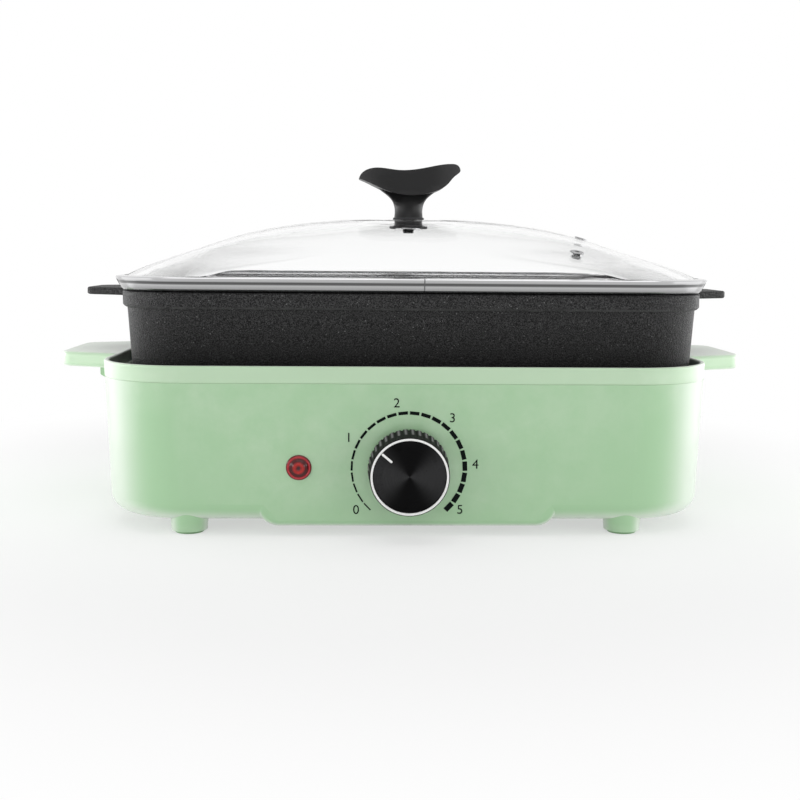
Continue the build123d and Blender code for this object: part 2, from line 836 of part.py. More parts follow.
def make_pot():
    low_band_z = pot_rim_z - pot_band_height
    band = pot_stack([(low_band_z, 0), (pot_rim_z, 0)])
    band = fillet(band.faces().sort_by(Axis.Z)[-1].edges(), pot_rim_radius)
    band = chamfer(lowest_edges(band), pot_band_chamfer)
    bowl = pot_stack([(z, pot_wall_grow(z)) for z in (pot_bottom_z, low_band_z + 2)])
    bowl = fillet(lowest_edges(bowl), pot_floor_radius)
    body = band + bowl
    for side in (-1, 1):
        body += pot_ear(side)
    inner_z = pot_bottom_z + pot_floor
    shoulder_z = low_band_z - pot_shoulder
    wall = pot_wall
    shoulder_grow = pot_wall_grow(shoulder_z) - wall
    cavity = pot_stack([(inner_z, pot_wall_grow(inner_z) - wall), (shoulder_z, shoulder_grow)])
    cavity = fillet(lowest_edges(cavity), pot_floor_radius - wall)
    mouth = pot_stack([(shoulder_z, shoulder_grow), (low_band_z, -wall), (pot_rim_z + 1, -wall)])
    return body - cavity - mouth


def pot_ear(side):
    root_x = band_half_length - root_overlap
    tip_x = band_half_length + ear_reach
    plan = ear_plan(root_x, tip_x, ear_root_half, ear_tip_half, ear_tip_radius)
    plate = extrude(Pos(0, 0, ear_low_z) * plan, amount=ear_thickness)
    plate = soften_rims(plate, root_x, ear_edge_radius)
    return plate if side > 0 else mirror(plate, Plane.YZ)


# ---------------------------------------------------------------- lid

glass_half_length = band_half_length + glass_overhang
glass_half_width = glass_half_length - half_length + half_width
glass_corner = base_corner_radius - band_inset / 2 + glass_overhang
glass_slope = glass_height * dome_power / glass_half_length  # at the glass's edge


def dome_outline(inset, drop_in=0.0, z_shift=0.0):
    """The dome's outline at a distance in from its edge, moved in and down for the inside."""
    a = glass_half_length - inset
    taper = 1 - (1 - glass_half_width / glass_half_length) * inset / glass_half_length
    b = glass_half_width - inset * taper
    share = min(1.0, max(0.0, (inset - dome_round_start) / (dome_round_end - dome_round_start)))
    blend = share * share * (3 - 2 * share)
    corner = (glass_corner - inset) * (1 - blend) + 0.97 * b * blend
    z = dome_top_z - glass_height * (a / glass_half_length) ** dome_power
    corner = max(min(corner, b - drop_in - 0.5), 2.0)
    outline = RectangleRounded(2 * (a - drop_in), 2 * (b - drop_in), corner - drop_in * 0.5)
    return Pos(0, 0, z - z_shift) * outline


def dome_insets():
    crown = glass_half_length - dome_crown_half
    shares = (0.0, 0.025, 0.06, 0.13, 0.24, 0.4, 0.58, 0.76, 0.9, 1.0)
    return [crown * share for share in shares]


def make_dome(thickness):
    """The dome's outer solid, or with a thickness the hollow that far below it."""
    sections = []
    for inset in dome_insets():
        share = 1 - inset / glass_half_length
        slope = atan(glass_slope * share ** (dome_power - 1))
        sections.append(dome_outline(inset, thickness * sin(slope), thickness * cos(slope)))
    return loft(sections)


def make_lid_glass():
    outer = make_dome(0.0)
    edge_slope = atan(glass_slope)
    edge_drop = glass_thickness * cos(edge_slope)
    edge_face = dome_outline(0.0)
    outer += extrude(edge_face, amount=-edge_drop)
    glass = outer - make_dome(glass_thickness)
    glass -= post(0, 0, dome_top_z - 10, dome_top_z + 2, glass_hole_radius)
    for spot in vent_planes():
        glass -= spot * Cylinder(vent_barrel_radius + nest_gap, 4 * glass_thickness)
    return glass


def vent_planes():
    """Where each steam vent sits: on the dome, with local +Z out of the glass."""
    dome = make_dome(0.0)
    planes = []
    for x, y in vent_hole_spots:
        hits = dome.find_intersection_points(Axis((x, y, 0), (0, 0, 1)))
        point, normal = max(hits, key=lambda hit: hit[0].Z)
        planes.append(Plane(origin=point, z_dir=normal).location)
    return planes


def make_steam_vents():
    grommets = []
    for spot in vent_planes():
        barrel_length = glass_thickness + 2 * nest_gap
        barrel = Pos(0, 0, nest_gap - barrel_length / 2) * Cylinder(vent_barrel_radius, barrel_length)
        upper = Pos(0, 0, nest_gap + vent_flange_height / 2)
        lower = Pos(0, 0, nest_gap - barrel_length - vent_flange_height / 2)
        flange = Cylinder(vent_flange_radius, vent_flange_height)
        flange = fillet(flange.faces().sort_by(Axis.Z)[-1].edges(), 0.5)
        grommet = barrel + upper * flange + lower * Cylinder(vent_foot_radius, vent_flange_height)
        grommet -= Cylinder(vent_bore_radius, 6 * glass_thickness)
        grommets.append(spot * grommet)
    return group(grommets)


def make_lid_ring():
    """Rolled ring: a sloping lip over the glass, a flared hollow skirt and a tongue in the pot."""
    foot = -ring_foot_inset
    lip_end = ring_reach - ring_lip_width
    lip_top_z = ring_widest_high_z + ring_lip_rise
    skirt = [(ring_foot_z, foot)] + [(pot_rim_z + height, out) for height, out in ring_flare]
    widest = [(ring_widest_low_z, ring_reach), (ring_widest_high_z, ring_reach - ring_edge_round)]
    shell = pot_stack([*skirt, *widest, (lip_top_z, lip_end)])
    floor_z = glass_edge_z - glass_thickness * cos(atan(glass_slope)) - ring_glass_gap
    tongue_out = -pot_wall - ring_skirt_gap
    tongue_in = tongue_out - ring_skirt_wall
    tongue_low_z = ring_foot_z - ring_skirt_depth
    hollow = pot_stack([(z, out - ring_skirt_wall) for z, out in skirt])
    hollow &= pot_stack([(ring_foot_z, ring_reach), (floor_z - ring_skirt_wall, ring_reach)])
    shell -= hollow
    shell += pot_stack([(tongue_low_z, tongue_out), (floor_z - 0.1, tongue_out)])
    shell -= pot_stack([(tongue_low_z - 1, tongue_in), (floor_z + 0.1, tongue_in)])
    wall_in = glass_overhang + ring_glass_gap
    lip_low_z = lip_top_z - ring_lip_sheet
    wall_top_z = lip_low_z - (wall_in - lip_end) * glass_slope
    slot = [(floor_z, wall_in), (wall_top_z, wall_in), (lip_low_z, lip_end), (lip_top_z + 1, lip_end)]
    return shell - pot_stack(slot)


grip_base_z = dome_top_z + grip_seal_height


def make_lid_grip():
    """T-shaped grip: a saddle-topped cap, one wing higher, on a waisted neck."""
    z = grip_base_z
    cap_side = make_face(Spline(*[(x, z + height) for x, height in grip_outline]))
    slab = extrude(Plane.XZ * cap_side, amount=grip_depth / 2, both=True)
    plan = Pos(0, 0, z) * Ellipse(grip_plan_half_length, grip_depth / 2)
    cap = slab & extrude(plan, amount=2 * grip_depth)
    sections = [Pos(0, 0, z + height) * Ellipse(a, b) for height, a, b in grip_neck_sections]
    grip = cap + loft(sections)
    hole_top_z = z + insert_length + grip_hole_spare
    return grip - post(0, 0, z - 1, hole_top_z, insert_radius + 0.02)


def make_grip_insert():
    return tube(0, 0, grip_base_z, grip_base_z + insert_length, insert_radius, grip_screw_radius + 0.05)


def make_grip_seal():
    return tube(0, 0, dome_top_z + 0.02, grip_base_z, grip_seal_radius, glass_hole_radius)


seal_top_z = dome_top_z - glass_thickness - lower_seal_gap
washer_top_z = seal_top_z - lower_seal_height
head_top_z = washer_top_z - washer_height


def make_lower_seal():
    return tube(0, 0, washer_top_z, seal_top_z, lower_seal_radius, grip_screw_radius + 0.2)


def make_grip_washer():
    return tube(0, 0, head_top_z, washer_top_z, washer_radius, grip_screw_radius + 0.2)


def make_grip_screw():
    body = screw(grip_screw_length, grip_screw_head_radius, grip_screw_head_height, grip_screw_radius)
    return Pos(0, 0, head_top_z) * Rot(180, 0, 0) * body


# ---------------------------------------------------------------- dial

face_z = knob_reach - knob_recess
disc_radius = knob_face_radius - knob_rim_wall - ring_band


def make_dial_knob():
    height = knob_reach - knob_gap
    body = Pos(0, 0, knob_gap + height / 2) * Cone(knob_radius, knob_face_radius, height)
    body = chamfer(body.faces().sort_by(Axis.Z)[-1].edges(), 0.25)
    groove_tilt = degrees(atan((knob_radius - knob_face_radius) / height))
    for turn in range(knob_groove_count):
        groove = Pos(knob_radius + 0.35, 0, knob_gap) * Rot(0, -groove_tilt, 0)
        groove *= Pos(0, 0, height / 2 - 1.2)
        body -= Rot(0, 0, 360 * turn / knob_groove_count) * groove * Cylinder(knob_groove_radius, height)
    cavity_top = knob_reach - knob_top
    body -= post(0, 0, 0, cavity_top, knob_radius - knob_wall)
    body += post(0, 0, knob_gap + 1.5, cavity_top, knob_hub_radius)
    body -= d_shaft(knob_gap, shaft_reach + running_gap, running_gap)
    body -= post(0, 0, face_z, knob_reach + 1, knob_face_radius - knob_rim_wall)
    return front * body


def d_shaft(low, high, grow=0.0):
    """The thermostat's shaft between two heights, with its flat."""
    rod = post(0, 0, low, high, shaft_radius + grow)
    flat_x = shaft_radius - shaft_flat + grow
    return rod - upright_box(flat_x, flat_x + 10, -10, 10, low - 1, high + 1)


def make_dial_shaft():
    inner_end = -(thermostat_boss_length + bracket_sheet + shaft_socket_depth - 0.5)
    rod = post(0, 0, inner_end, knob_gap, shaft_radius)
    return front * (rod + d_shaft(knob_gap - 0.1, shaft_reach))


def make_dial_face():
    disc = post(0, 0, face_z, knob_reach - 0.1, disc_radius)
    return front * chamfer(disc.faces().sort_by(Axis.Z)[-1].edges(), 0.2)


def make_dial_ring():
    outer = knob_face_radius - knob_rim_wall - face_disc_gap
    return front * tube(0, 0, face_z, knob_reach + 0.1, outer, disc_radius + face_disc_gap)


def make_dial_pointer():
    length = pointer_outer - pointer_inner
    bar = extrude(SlotOverall(length, pointer_width), amount=pointer_height)
    place = Pos(0, (pointer_outer + pointer_inner) / 2, knob_reach - 0.1) * Rot(0, 0, 90)
    return front * Rot(0, 0, -pointer_angle) * place * bar


def make_dial_ticks():
    """Dashes round the dial that grow from thin at the low end to thick at the high end."""
    ticks = []
    for index in range(tick_count):
        share = index / (tick_count - 1)
        angle = tick_first + (tick_last - tick_first) * share
        thickness = tick_thin + (tick_thick - tick_thin) * share
        dash = Box(tick_length, thickness, tick_height)
        ticks.append(front * Rot(0, 0, -angle) * Pos(0, tick_ring_radius, tick_height / 2) * dash)
    return group(ticks)


# ---------------------------------------------------------------- controls behind the walls

bracket_z = -thermostat_boss_length
body_z = bracket_z - bracket_sheet
body_end = body_z - thermostat_depth
thermostat_tabs = ((-8.0, -2.0), (8.0, -2.0))


def make_thermostat_bracket():
    sheet = Box(2 * bracket_half_length, 2 * bracket_half_height, bracket_sheet)
    plate = Pos(0, -bracket_drop, bracket_z - bracket_sheet / 2) * sheet
    for side in (-1, 1):
        hole = Cylinder(screw_radius + hole_gap, 3 * bracket_sheet)
        plate -= Pos(side * thermostat_boss_x, -bracket_drop, bracket_z) * hole
    plate += Pos(0, 0, bracket_z + bushing_length / 2 - 0.5) * Cylinder(bushing_radius, bushing_length + 1)
    return front * (plate - Pos(0, 0, bracket_z) * Cylinder(shaft_radius + running_gap, 40))


def make_thermostat_body():
    block = upright_box(
        -thermostat_half_length, thermostat_half_length, -thermostat_low, thermostat_high, body_end, body_z
    )
    block = chamfer(block.edges().filter_by(Axis.Z), 1.5)
    block -= post(0, 0, body_z - shaft_socket_depth, body_z + 1, shaft_radius + running_gap)
    return front * block


def make_thermostat_tabs():
    tabs = []
    for x, y in thermostat_tabs:
        tabs.append(front * upright_box(
            x - tab_width / 2, x + tab_width / 2,
            y - tab_thickness / 2, y + tab_thickness / 2,
            body_end - tab_length, body_end,
        ))
    return group(tabs)


def make_thermostat_screws():
    places = [Pos(side * thermostat_boss_x, -bracket_drop, body_z) for side in (-1, 1)]
    fixing = screw(bracket_screw_length, bracket_screw_head_radius, bracket_screw_head_height)
    return group([front * place * Rot(180, 0, 0) * fixing for place in places])


def make_indicator_lens():
    flange = Pos(0, 0, lens_flange / 2) * Cylinder(lens_radius, lens_flange)
    flange = fillet(flange.faces().sort_by(Axis.Z)[-1].edges(), 0.5)
    dome_reach = lens_flange + lens_dome_height
    lens = flange + post(0, 0, lens_flange - 0.5, dome_reach - 0.9, lens_dome_radius)
    bevel_radius = lens_dome_radius - lens_bevel
    lens += post(0, 0, dome_reach - 1.0, dome_reach, bevel_radius, bevel_radius - 1.2)
    lens += post(0, 0, -lens_barrel_length, 0.1, lens_barrel_radius)
    lens -= post(0, 0, -lens_barrel_length - 1, lens_front, lens_bore_radius)
    return lamp_place * lens


def make_lens_clip():
    outer = -base_wall - screw_clearance
    bore = lens_barrel_radius + 0.03
    return lamp_place * tube(0, 0, outer - lens_clip_sheet, outer, lens_clip_radius, bore)


cap_front = -lens_barrel_length


def make_lamp_cap():
    cap = post(0, 0, cap_front - lamp_cap_length, cap_front, lens_barrel_radius)
    cap += post(0, 0, cap_front, cap_front + 2.5, lens_bore_radius - screw_clearance)
    return lamp_place * (cap - post(0, 0, cap_front - 2, cap_front + 3, bulb_radius + 0.02))


def make_indicator_bulb():
    low = cap_front - 2
    bulb = post(0, 0, low, low + bulb_length - bulb_radius, bulb_radius)
    return lamp_place * (bulb + Pos(0, 0, low + bulb_length - bulb_radius) * Sphere(bulb_radius))


def inlet_block(length, height, low, high, corner):
    outline = Pos(0, 0, low) * RectangleRounded(length, height, corner)
    return extrude(outline, amount=high - low)


inlet_pin_places = (
    (-inlet_pin_pitch / 2, -inlet_pin_drop),
    (inlet_pin_pitch / 2, -inlet_pin_drop),
    (0.0, inlet_pin_drop + 1.6),
)


def make_power_inlet():
    flange = inlet_block(inlet_flange_length, inlet_flange_height, 0, inlet_flange_thickness, 4)
    flange = fillet(flange.faces().sort_by(Axis.Z)[-1].edges(), 0.8)
    body = inlet_block(inlet_body_length, inlet_body_height, -inlet_body_depth, 0, 2)
    mouth = inlet_flange_thickness
    socket_floor = mouth - inlet_socket_depth
    socket_corner = inlet_socket_corner
    socket = inlet_block(inlet_socket_length, inlet_socket_height, socket_floor, mouth + 1, socket_corner)
    inlet = flange + body - socket
    for x, y in inlet_pin_places:
        inlet -= Pos(x, y, -inlet_body_depth) * Box(inlet_pin_thickness, inlet_pin_width, inlet_body_depth)
    for x in inlet_spots:
        inlet -= Pos(x, 0, 0) * Cylinder(screw_radius + hole_gap, inlet_body_depth)
    return rear * inlet


def make_inlet_pins():
    """Each pin is one piece with the tab behind it."""
    pins = []
    front_end = inlet_flange_thickness - inlet_pin_recess
    back_end = -inlet_body_depth
    for x, y in inlet_pin_places:
        pin = upright_box(
            x - inlet_pin_thickness / 2, x + inlet_pin_thickness / 2,
            y - inlet_pin_width / 2, y + inlet_pin_width / 2,
            back_end - 0.5, front_end,
        )
        tab = upright_box(
            x - tab_thickness / 2, x + tab_thickness / 2,
            y - tab_width / 2, y + tab_width / 2,
            back_end - tab_length, back_end - 0.4,
        )
        pins.append(rear * (pin + tab))
    return group(pins)


def make_inlet_screws():
    return group([rear * Pos(x, 0, inlet_flange_thickness) * screw() for x in inlet_spots])


# ---------------------------------------------------------------- fuse and wiring

fuse_z = tray_floor_z - fuse_clip_wall - fuse_radius


def make_thermal_fuse():
    return Pos(fuse_x, fuse_y, fuse_z) * Rot(90, 0, 0) * Cylinder(fuse_radius, fuse_length)


def make_fuse_clip():
    half = fuse_radius + fuse_clip_wall
    low_z = fuse_z - half
    y_half = fuse_clip_length / 2
    clip = upright_box(fuse_x - half, fuse_x + half, fuse_y - y_half, fuse_y + y_half, low_z, tray_floor_z)
    bore = Cylinder(fuse_radius + 0.05, 2 * fuse_clip_length)
    return clip - Pos(fuse_x, fuse_y, fuse_z) * Rot(90, 0, 0) * bore


def tab_sleeve(frame, x, y, end, across_x):
    """An insulated receptacle pushed over a flat tab whose free end is at local z = end."""
    wide = tab_width + 2 * sleeve_wall
    thin = tab_thickness + 4 * sleeve_wall
    size_x, size_y = (wide, thin) if across_x else (thin, wide)
    top = end + tab_length - 0.6
    slot = 0.1
    tab_x, tab_y = (tab_width, tab_thickness) if across_x else (tab_thickness, tab_width)
    body = Pos(x, y, top - sleeve_length / 2) * Box(size_x, size_y, sleeve_length)
    depth = top + 1 - (end - slot)
    hole = Pos(x, y, end - slot + depth / 2) * Box(tab_x + 2 * slot, tab_y + 2 * slot, depth)
    return frame * (body - hole)


thermostat_tab_end = body_end - tab_length
inlet_tab_end = -inlet_body_depth - tab_length
sleeve_tail = sleeve_length - tab_length + 0.6
pin_bottom_z = heater_leg_bottom_z - heater_pin_length
flag_low_z = pin_bottom_z - 0.8
flag_high_z = flag_low_z + flag_height
flag_z = (flag_low_z + flag_high_z) / 2


def make_lead_sleeves():
    sleeves = [tab_sleeve(front, x, y, thermostat_tab_end, True) for x, y in thermostat_tabs]
    sleeves += [tab_sleeve(rear, x, y, inlet_tab_end, False) for x, y in inlet_pin_places]
    for x, y in heater_leg_spots:
        flag = Pos(x, y, flag_z) * Box(2 * flag_half, 2 * flag_half, flag_height)
        sleeves.append(flag - post(x, y, pin_bottom_z - 0.1, flag_high_z + 1, heater_pin_radius + 0.05))
    return group(sleeves)


def sleeve_exit(frame, place, tab_end, run=0.0):
    """The point on a lead at a distance behind its sleeve's tail."""
    return place_of(frame, *place, tab_end - sleeve_tail - run)


wire_floor_z = inner_floor_z + lead_height
tag_lead_z = tray_floor_z - tag_sheet - lead_radius - screw_clearance


def make_live_lead():
    """From the inlet, past the sensor on the right, to the thermostat's right tab."""
    live_pin = inlet_pin_places[1]
    right_tab = thermostat_tabs[1]
    points = [
        sleeve_exit(rear, live_pin, inlet_tab_end),
        sleeve_exit(rear, live_pin, inlet_tab_end, lead_run),
        *[(x, y, wire_floor_z) for x, y in live_turns],
        sleeve_exit(front, right_tab, thermostat_tab_end, lead_run),
        sleeve_exit(front, right_tab, thermostat_tab_end),
    ]
    return wire_lead(points, lead_radius)


def make_fuse_lead_front():
    """From the thermostat's left tab to the thermal fuse."""
    left_tab = thermostat_tabs[0]
    fuse_front_y = fuse_y - fuse_length / 2
    points = [
        sleeve_exit(front, left_tab, thermostat_tab_end),
        sleeve_exit(front, left_tab, thermostat_tab_end, lead_run),
        (*fuse_lead_turn, wire_floor_z),
        (fuse_x, fuse_lead_climb[0], wire_floor_z + fuse_lead_climb[1]),
        (fuse_x, fuse_front_y - fuse_lead_run, fuse_z),
        (fuse_x, fuse_front_y, fuse_z),
    ]
    return wire_lead(points, lead_radius)


def make_fuse_lead_rear():
    """From the thermal fuse to the left heater pin."""
    x, y = heater_leg_spots[0]
    fuse_rear_y = fuse_y + fuse_length / 2
    points = [
        (fuse_x, fuse_rear_y, fuse_z),
        (fuse_x, fuse_rear_y + fuse_lead_rear_run, fuse_z),
        (x - flag_half - pin_lead_run, y, flag_z),
        (x - flag_half, y, flag_z),
    ]
    return wire_lead(points, lead_radius)


def make_neutral_lead():
    """From the inlet round to the right heater pin."""
    neutral_pin = inlet_pin_places[0]
    pin_x, pin_y = heater_leg_spots[1]
    turn_x, turn_y, turn_z = sleeve_exit(rear, neutral_pin, inlet_tab_end, neutral_lead_run)
    points = [
        sleeve_exit(rear, neutral_pin, inlet_tab_end),
        (turn_x, turn_y, turn_z),
        (pin_x, turn_y - 4, flag_z),
        (pin_x, pin_y - flag_half, flag_z),
    ]
    return wire_lead(points, lead_radius)


def make_earth_lead():
    """From the inlet's earth tab up to the tag under the tray."""
    earth_pin = inlet_pin_places[2]
    points = [
        sleeve_exit(rear, earth_pin, inlet_tab_end),
        sleeve_exit(rear, earth_pin, inlet_tab_end, lead_run / 3),
        (0, earth_y + tag_radius + tag_barrel_reach + 4 * lead_radius, tag_lead_z),
        (0, earth_y + tag_radius + tag_barrel_reach, tag_lead_z),
    ]
    return wire_lead(points, lead_radius)


def make_earth_tag():
    """Ring terminal and its screw, which hold the earth lead to the tray."""
    bore = screw_radius + screw_clearance
    tag = tube(0, earth_y, tray_floor_z - tag_sheet, tray_floor_z, tag_radius, bore)
    half = tag_barrel_width / 2
    end_y = earth_y + tag_radius + tag_barrel_reach
    low_z = tag_lead_z - lead_radius - 0.2
    return tag + upright_box(-half, half, end_y - tag_barrel_length, end_y, low_z, tray_floor_z - 0.4)


def make_earth_screw():
    return Pos(0, earth_y, tray_top_z) * screw(tray_sheet + tag_sheet + 3)


def make_lamp_leads():
    """Two thin leads from the lamp's cap to the side of the thermostat."""
    leads = []
    start_z = cap_front - lamp_cap_length
    end_x = -thermostat_half_length
    for offset, height, depth in lamp_lead_ways:
        turn_z = start_z - lamp_lead_run - height * 0.5
        points = [
            place_of(front, lamp_x + offset, lamp_y, start_z),
            place_of(front, lamp_x + offset, lamp_y, turn_z),
            place_of(front, lamp_x + lamp_lead_bow, height, body_z - depth + 1),
            place_of(front, end_x - lamp_lead_stop, height, body_z - depth),
            place_of(front, end_x, height, body_z - depth),
        ]
        leads.append(wire_lead(points, thin_lead_radius))
    return group(leads)


# ---------------------------------------------------------------- the assembly

makers = {
    "base_shell": make_base_shell,
    "rim_frame": make_rim_frame,
    "bottom_cover": make_bottom_cover,
    "cover_screws": make_cover_screws,
    "foot_pads": make_foot_pads,
    "reflector_tray": make_reflector_tray,
    "tray_spacers": make_tray_spacers,
    "tray_screws": make_tray_screws,
    "heating_element": make_heating_element,
    "heater_seals": make_heater_seals,
    "heater_pins": make_heater_pins,
    "heater_clips": make_heater_clips,
    "pot_rests": make_pot_rests,
    "sensor_guide": make_sensor_guide,
    "sensor_cup": make_sensor_cup,
    "sensor_clip": make_sensor_clip,
    "sensor_spring": make_sensor_spring,
    "pot": make_pot,
    "lid_glass": make_lid_glass,
    "lid_ring": make_lid_ring,
    "lid_grip": make_lid_grip,
    "grip_insert": make_grip_insert,
    "grip_seal": make_grip_seal,
    "lower_seal": make_lower_seal,
    "grip_washer": make_grip_washer,
    "grip_screw": make_grip_screw,
    "steam_vents": make_steam_vents,
    "dial_knob": make_dial_knob,
    "dial_shaft": make_dial_shaft,
    "dial_face": make_dial_face,
    "dial_ring": make_dial_ring,
    "dial_pointer": make_dial_pointer,
    "dial_ticks": make_dial_ticks,
    "thermostat_bracket": make_thermostat_bracket,
    "thermostat_body": make_thermostat_body,
    "thermostat_tabs": make_thermostat_tabs,
    "thermostat_screws": make_thermostat_screws,
    "indicator_lens": make_indicator_lens,
    "lens_clip": make_lens_clip,
    "lamp_cap": make_lamp_cap,
    "indicator_bulb": make_indicator_bulb,
    "power_inlet": make_power_inlet,
    "inlet_pins": make_inlet_pins,
    "inlet_screws": make_inlet_screws,
    "thermal_fuse": make_thermal_fuse,
    "fuse_clip": make_fuse_clip,
    "lead_sleeves": make_lead_sleeves,
    "live_lead": make_live_lead,
    "fuse_lead_front": make_fuse_lead_front,
    "fuse_lead_rear": make_fuse_lead_rear,
    "neutral_lead": make_neutral_lead,
    "earth_lead": make_earth_lead,
    "earth_tag": make_earth_tag,
    "earth_screw": make_earth_screw,
    "lamp_leads": make_lamp_leads,
}

# The knob stands out at the front alone, so half of that reach brings the middle to the origin
front_reach = base_grow(dial_z) + knob_reach * cos(lean) + knob_radius * sin(lean)
middle = Pos(0, front_reach / 2, 0)

# Pieces that lift out, which stand a little to the right in the well
loose_pieces = (
    "pot",
    "lid_glass",
    "lid_ring",
    "lid_grip",
    "grip_insert",
    "grip_seal",
    "lower_seal",
    "grip_washer",
    "grip_screw",
    "steam_vents",
)

os.makedirs("parts", exist_ok=True)
for name, make in makers.items():
    solids = make().solids()
    piece = solids[0] if len(solids) == 1 else Compound(children=solids)
    place = middle * Pos(pot_side_shift, 0, 0) if name in loose_pieces else middle
    export_step(place * piece, f"parts/{name}.step")
    print(name, len(solids), round(sum(solid.volume for solid in solids), 1))
print("origin shift along Y", round(front_reach / 2, 4))
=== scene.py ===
import json
import math
import bpy
import bmesh
from mathutils import Matrix, Vector


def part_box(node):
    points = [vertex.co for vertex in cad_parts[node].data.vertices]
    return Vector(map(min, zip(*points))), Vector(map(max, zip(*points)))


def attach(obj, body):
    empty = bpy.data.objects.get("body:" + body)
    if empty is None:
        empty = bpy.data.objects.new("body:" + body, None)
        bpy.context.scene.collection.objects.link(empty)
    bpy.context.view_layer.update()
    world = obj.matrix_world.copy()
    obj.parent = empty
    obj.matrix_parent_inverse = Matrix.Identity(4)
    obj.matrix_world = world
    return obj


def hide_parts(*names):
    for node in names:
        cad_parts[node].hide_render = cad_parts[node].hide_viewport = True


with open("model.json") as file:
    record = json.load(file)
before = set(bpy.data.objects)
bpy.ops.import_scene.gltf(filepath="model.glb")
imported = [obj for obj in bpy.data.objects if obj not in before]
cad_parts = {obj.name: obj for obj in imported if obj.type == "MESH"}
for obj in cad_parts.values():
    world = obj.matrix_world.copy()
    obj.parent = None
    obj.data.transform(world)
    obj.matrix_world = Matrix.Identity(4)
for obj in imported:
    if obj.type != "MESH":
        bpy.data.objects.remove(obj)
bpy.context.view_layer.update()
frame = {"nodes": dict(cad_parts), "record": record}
nodes = frame["nodes"]
print("frame loaded:", len(nodes), "nodes")

mm = 0.001
noiseSpan = (0.3, 0.7)  # most of a noise's values lie between these

viewValues = {
    "place": (-0.0265, -0.77953, 0.1660),  # metres
    "pan": 1.856,  # degrees to the right
    "tilt": 7.402,  # degrees down
    "roll": 0.459,  # degrees
    "lens": 52.19,  # millimetres
    "sensorWidth": 36,  # millimetres
    "nearest": 0.01,  # metres
    "farthest": 30,  # metres
}


def placeCamera(values):
    camera = bpy.data.objects.new("camera", bpy.data.cameras.new("camera"))
    bpy.context.scene.collection.objects.link(camera)
    camera.data.sensor_width = values["sensorWidth"]
    camera.data.lens = values["lens"]
    camera.data.clip_start = values["nearest"]
    camera.data.clip_end = values["farthest"]
    pan, tilt, roll = (math.radians(values[turn]) for turn in ("pan", "tilt", "roll"))
    forward = Vector((math.sin(pan) * math.cos(tilt), math.cos(pan) * math.cos(tilt), -math.sin(tilt)))
    camera.location = values["place"]
    camera.rotation_mode = "QUATERNION"
    aim = forward.to_track_quat("-Z", "Y")
    camera.rotation_quaternion = aim @ Matrix.Rotation(roll, 4, "Z").to_quaternion()
    bpy.context.scene.camera = camera


placeCamera(viewValues)


# short ways to add shader nodes; a value may be a number, a colour or another node's output

def addNode(tree, kind, **values):
    node = tree.nodes.new(kind)
    for key, value in values.items():
        setattr(node, key, value)
    return node


def plug(tree, socket, value):
    if hasattr(value, "is_output"):
        tree.links.new(value, socket)
    elif value is not None:
        socket.default_value = value


def mathNode(tree, operation, first, second=None, clamp=False):
    node = addNode(tree, "ShaderNodeMath", operation=operation, use_clamp=clamp)
    plug(tree, node.inputs[0], first)
    plug(tree, node.inputs[1], second)
    return node.outputs[0]


def vectorNode(tree, operation, first, second=None, output="Vector"):
    node = addNode(tree, "ShaderNodeVectorMath", operation=operation)
    plug(tree, node.inputs[0], first)
    plug(tree, node.inputs["Scale" if operation == "SCALE" else 1], second)
    return node.outputs[output]


def splitVector(tree, vector):
    node = addNode(tree, "ShaderNodeSeparateXYZ")
    plug(tree, node.inputs[0], vector)
    return node.outputs


def rangeNode(tree, value, fromLow, fromHigh, toLow=0.0, toHigh=1.0, smooth=False):
    node = addNode(tree, "ShaderNodeMapRange", clamp=True)
    node.interpolation_type = "SMOOTHSTEP" if smooth else "LINEAR"
    plug(tree, node.inputs["Value"], value)
    plug(tree, node.inputs["From Min"], fromLow)
    plug(tree, node.inputs["From Max"], fromHigh)
    plug(tree, node.inputs["To Min"], toLow)
    plug(tree, node.inputs["To Max"], toHigh)
    return node.outputs["Result"]


def noiseNode(tree, vector, scale, detail=3.0, roughness=0.5, output="Fac"):
    node = addNode(tree, "ShaderNodeTexNoise")
    plug(tree, node.inputs["Vector"], vector)
    plug(tree, node.inputs["Scale"], scale)
    plug(tree, node.inputs["Detail"], detail)
    plug(tree, node.inputs["Roughness"], roughness)
    return node.outputs[output]


def cellNode(tree, vector, scale):
    node = addNode(tree, "ShaderNodeTexVoronoi", feature="F1")
    plug(tree, node.inputs["Vector"], vector)
    plug(tree, node.inputs["Scale"], scale)
    return node.outputs


def mixColours(tree, factor, first, second):
    node = addNode(tree, "ShaderNodeMix", data_type="RGBA")
    plug(tree, node.inputs[0], factor)
    plug(tree, node.inputs[6], first)  # the mix node's two colours
    plug(tree, node.inputs[7], second)
    return node.outputs[2]


def colourSteps(tree, value, steps):
    ramp = addNode(tree, "ShaderNodeValToRGB")
    plug(tree, ramp.inputs["Fac"], value)
    elements = ramp.color_ramp.elements
    while len(elements) < len(steps):
        elements.new(0.5)
    for element, (position, colour) in zip(elements, steps):
        element.position = position
        element.color = colour
    return ramp.outputs["Color"]


def newGroup(name, inputs, outputs):
    group = bpy.data.node_groups.new(name, "ShaderNodeTree")
    group.interface.new_socket("Vector", in_out="INPUT", socket_type="NodeSocketVector")
    for label, value in inputs.items():
        kind = "NodeSocketVector" if isinstance(value, tuple) else "NodeSocketFloat"
        group.interface.new_socket(label, in_out="INPUT", socket_type=kind).default_value = value
    for label in outputs:
        group.interface.new_socket(label, in_out="OUTPUT", socket_type="NodeSocketFloat")
    return group, group.nodes.new("NodeGroupInput").outputs, group.nodes.new("NodeGroupOutput").inputs


def useGroup(tree, group, vector, **values):
    node = addNode(tree, "ShaderNodeGroup", node_tree=group)
    plug(tree, node.inputs["Vector"], vector)
    for label, value in values.items():
        plug(tree, node.inputs[label], value)
    return node.outputs


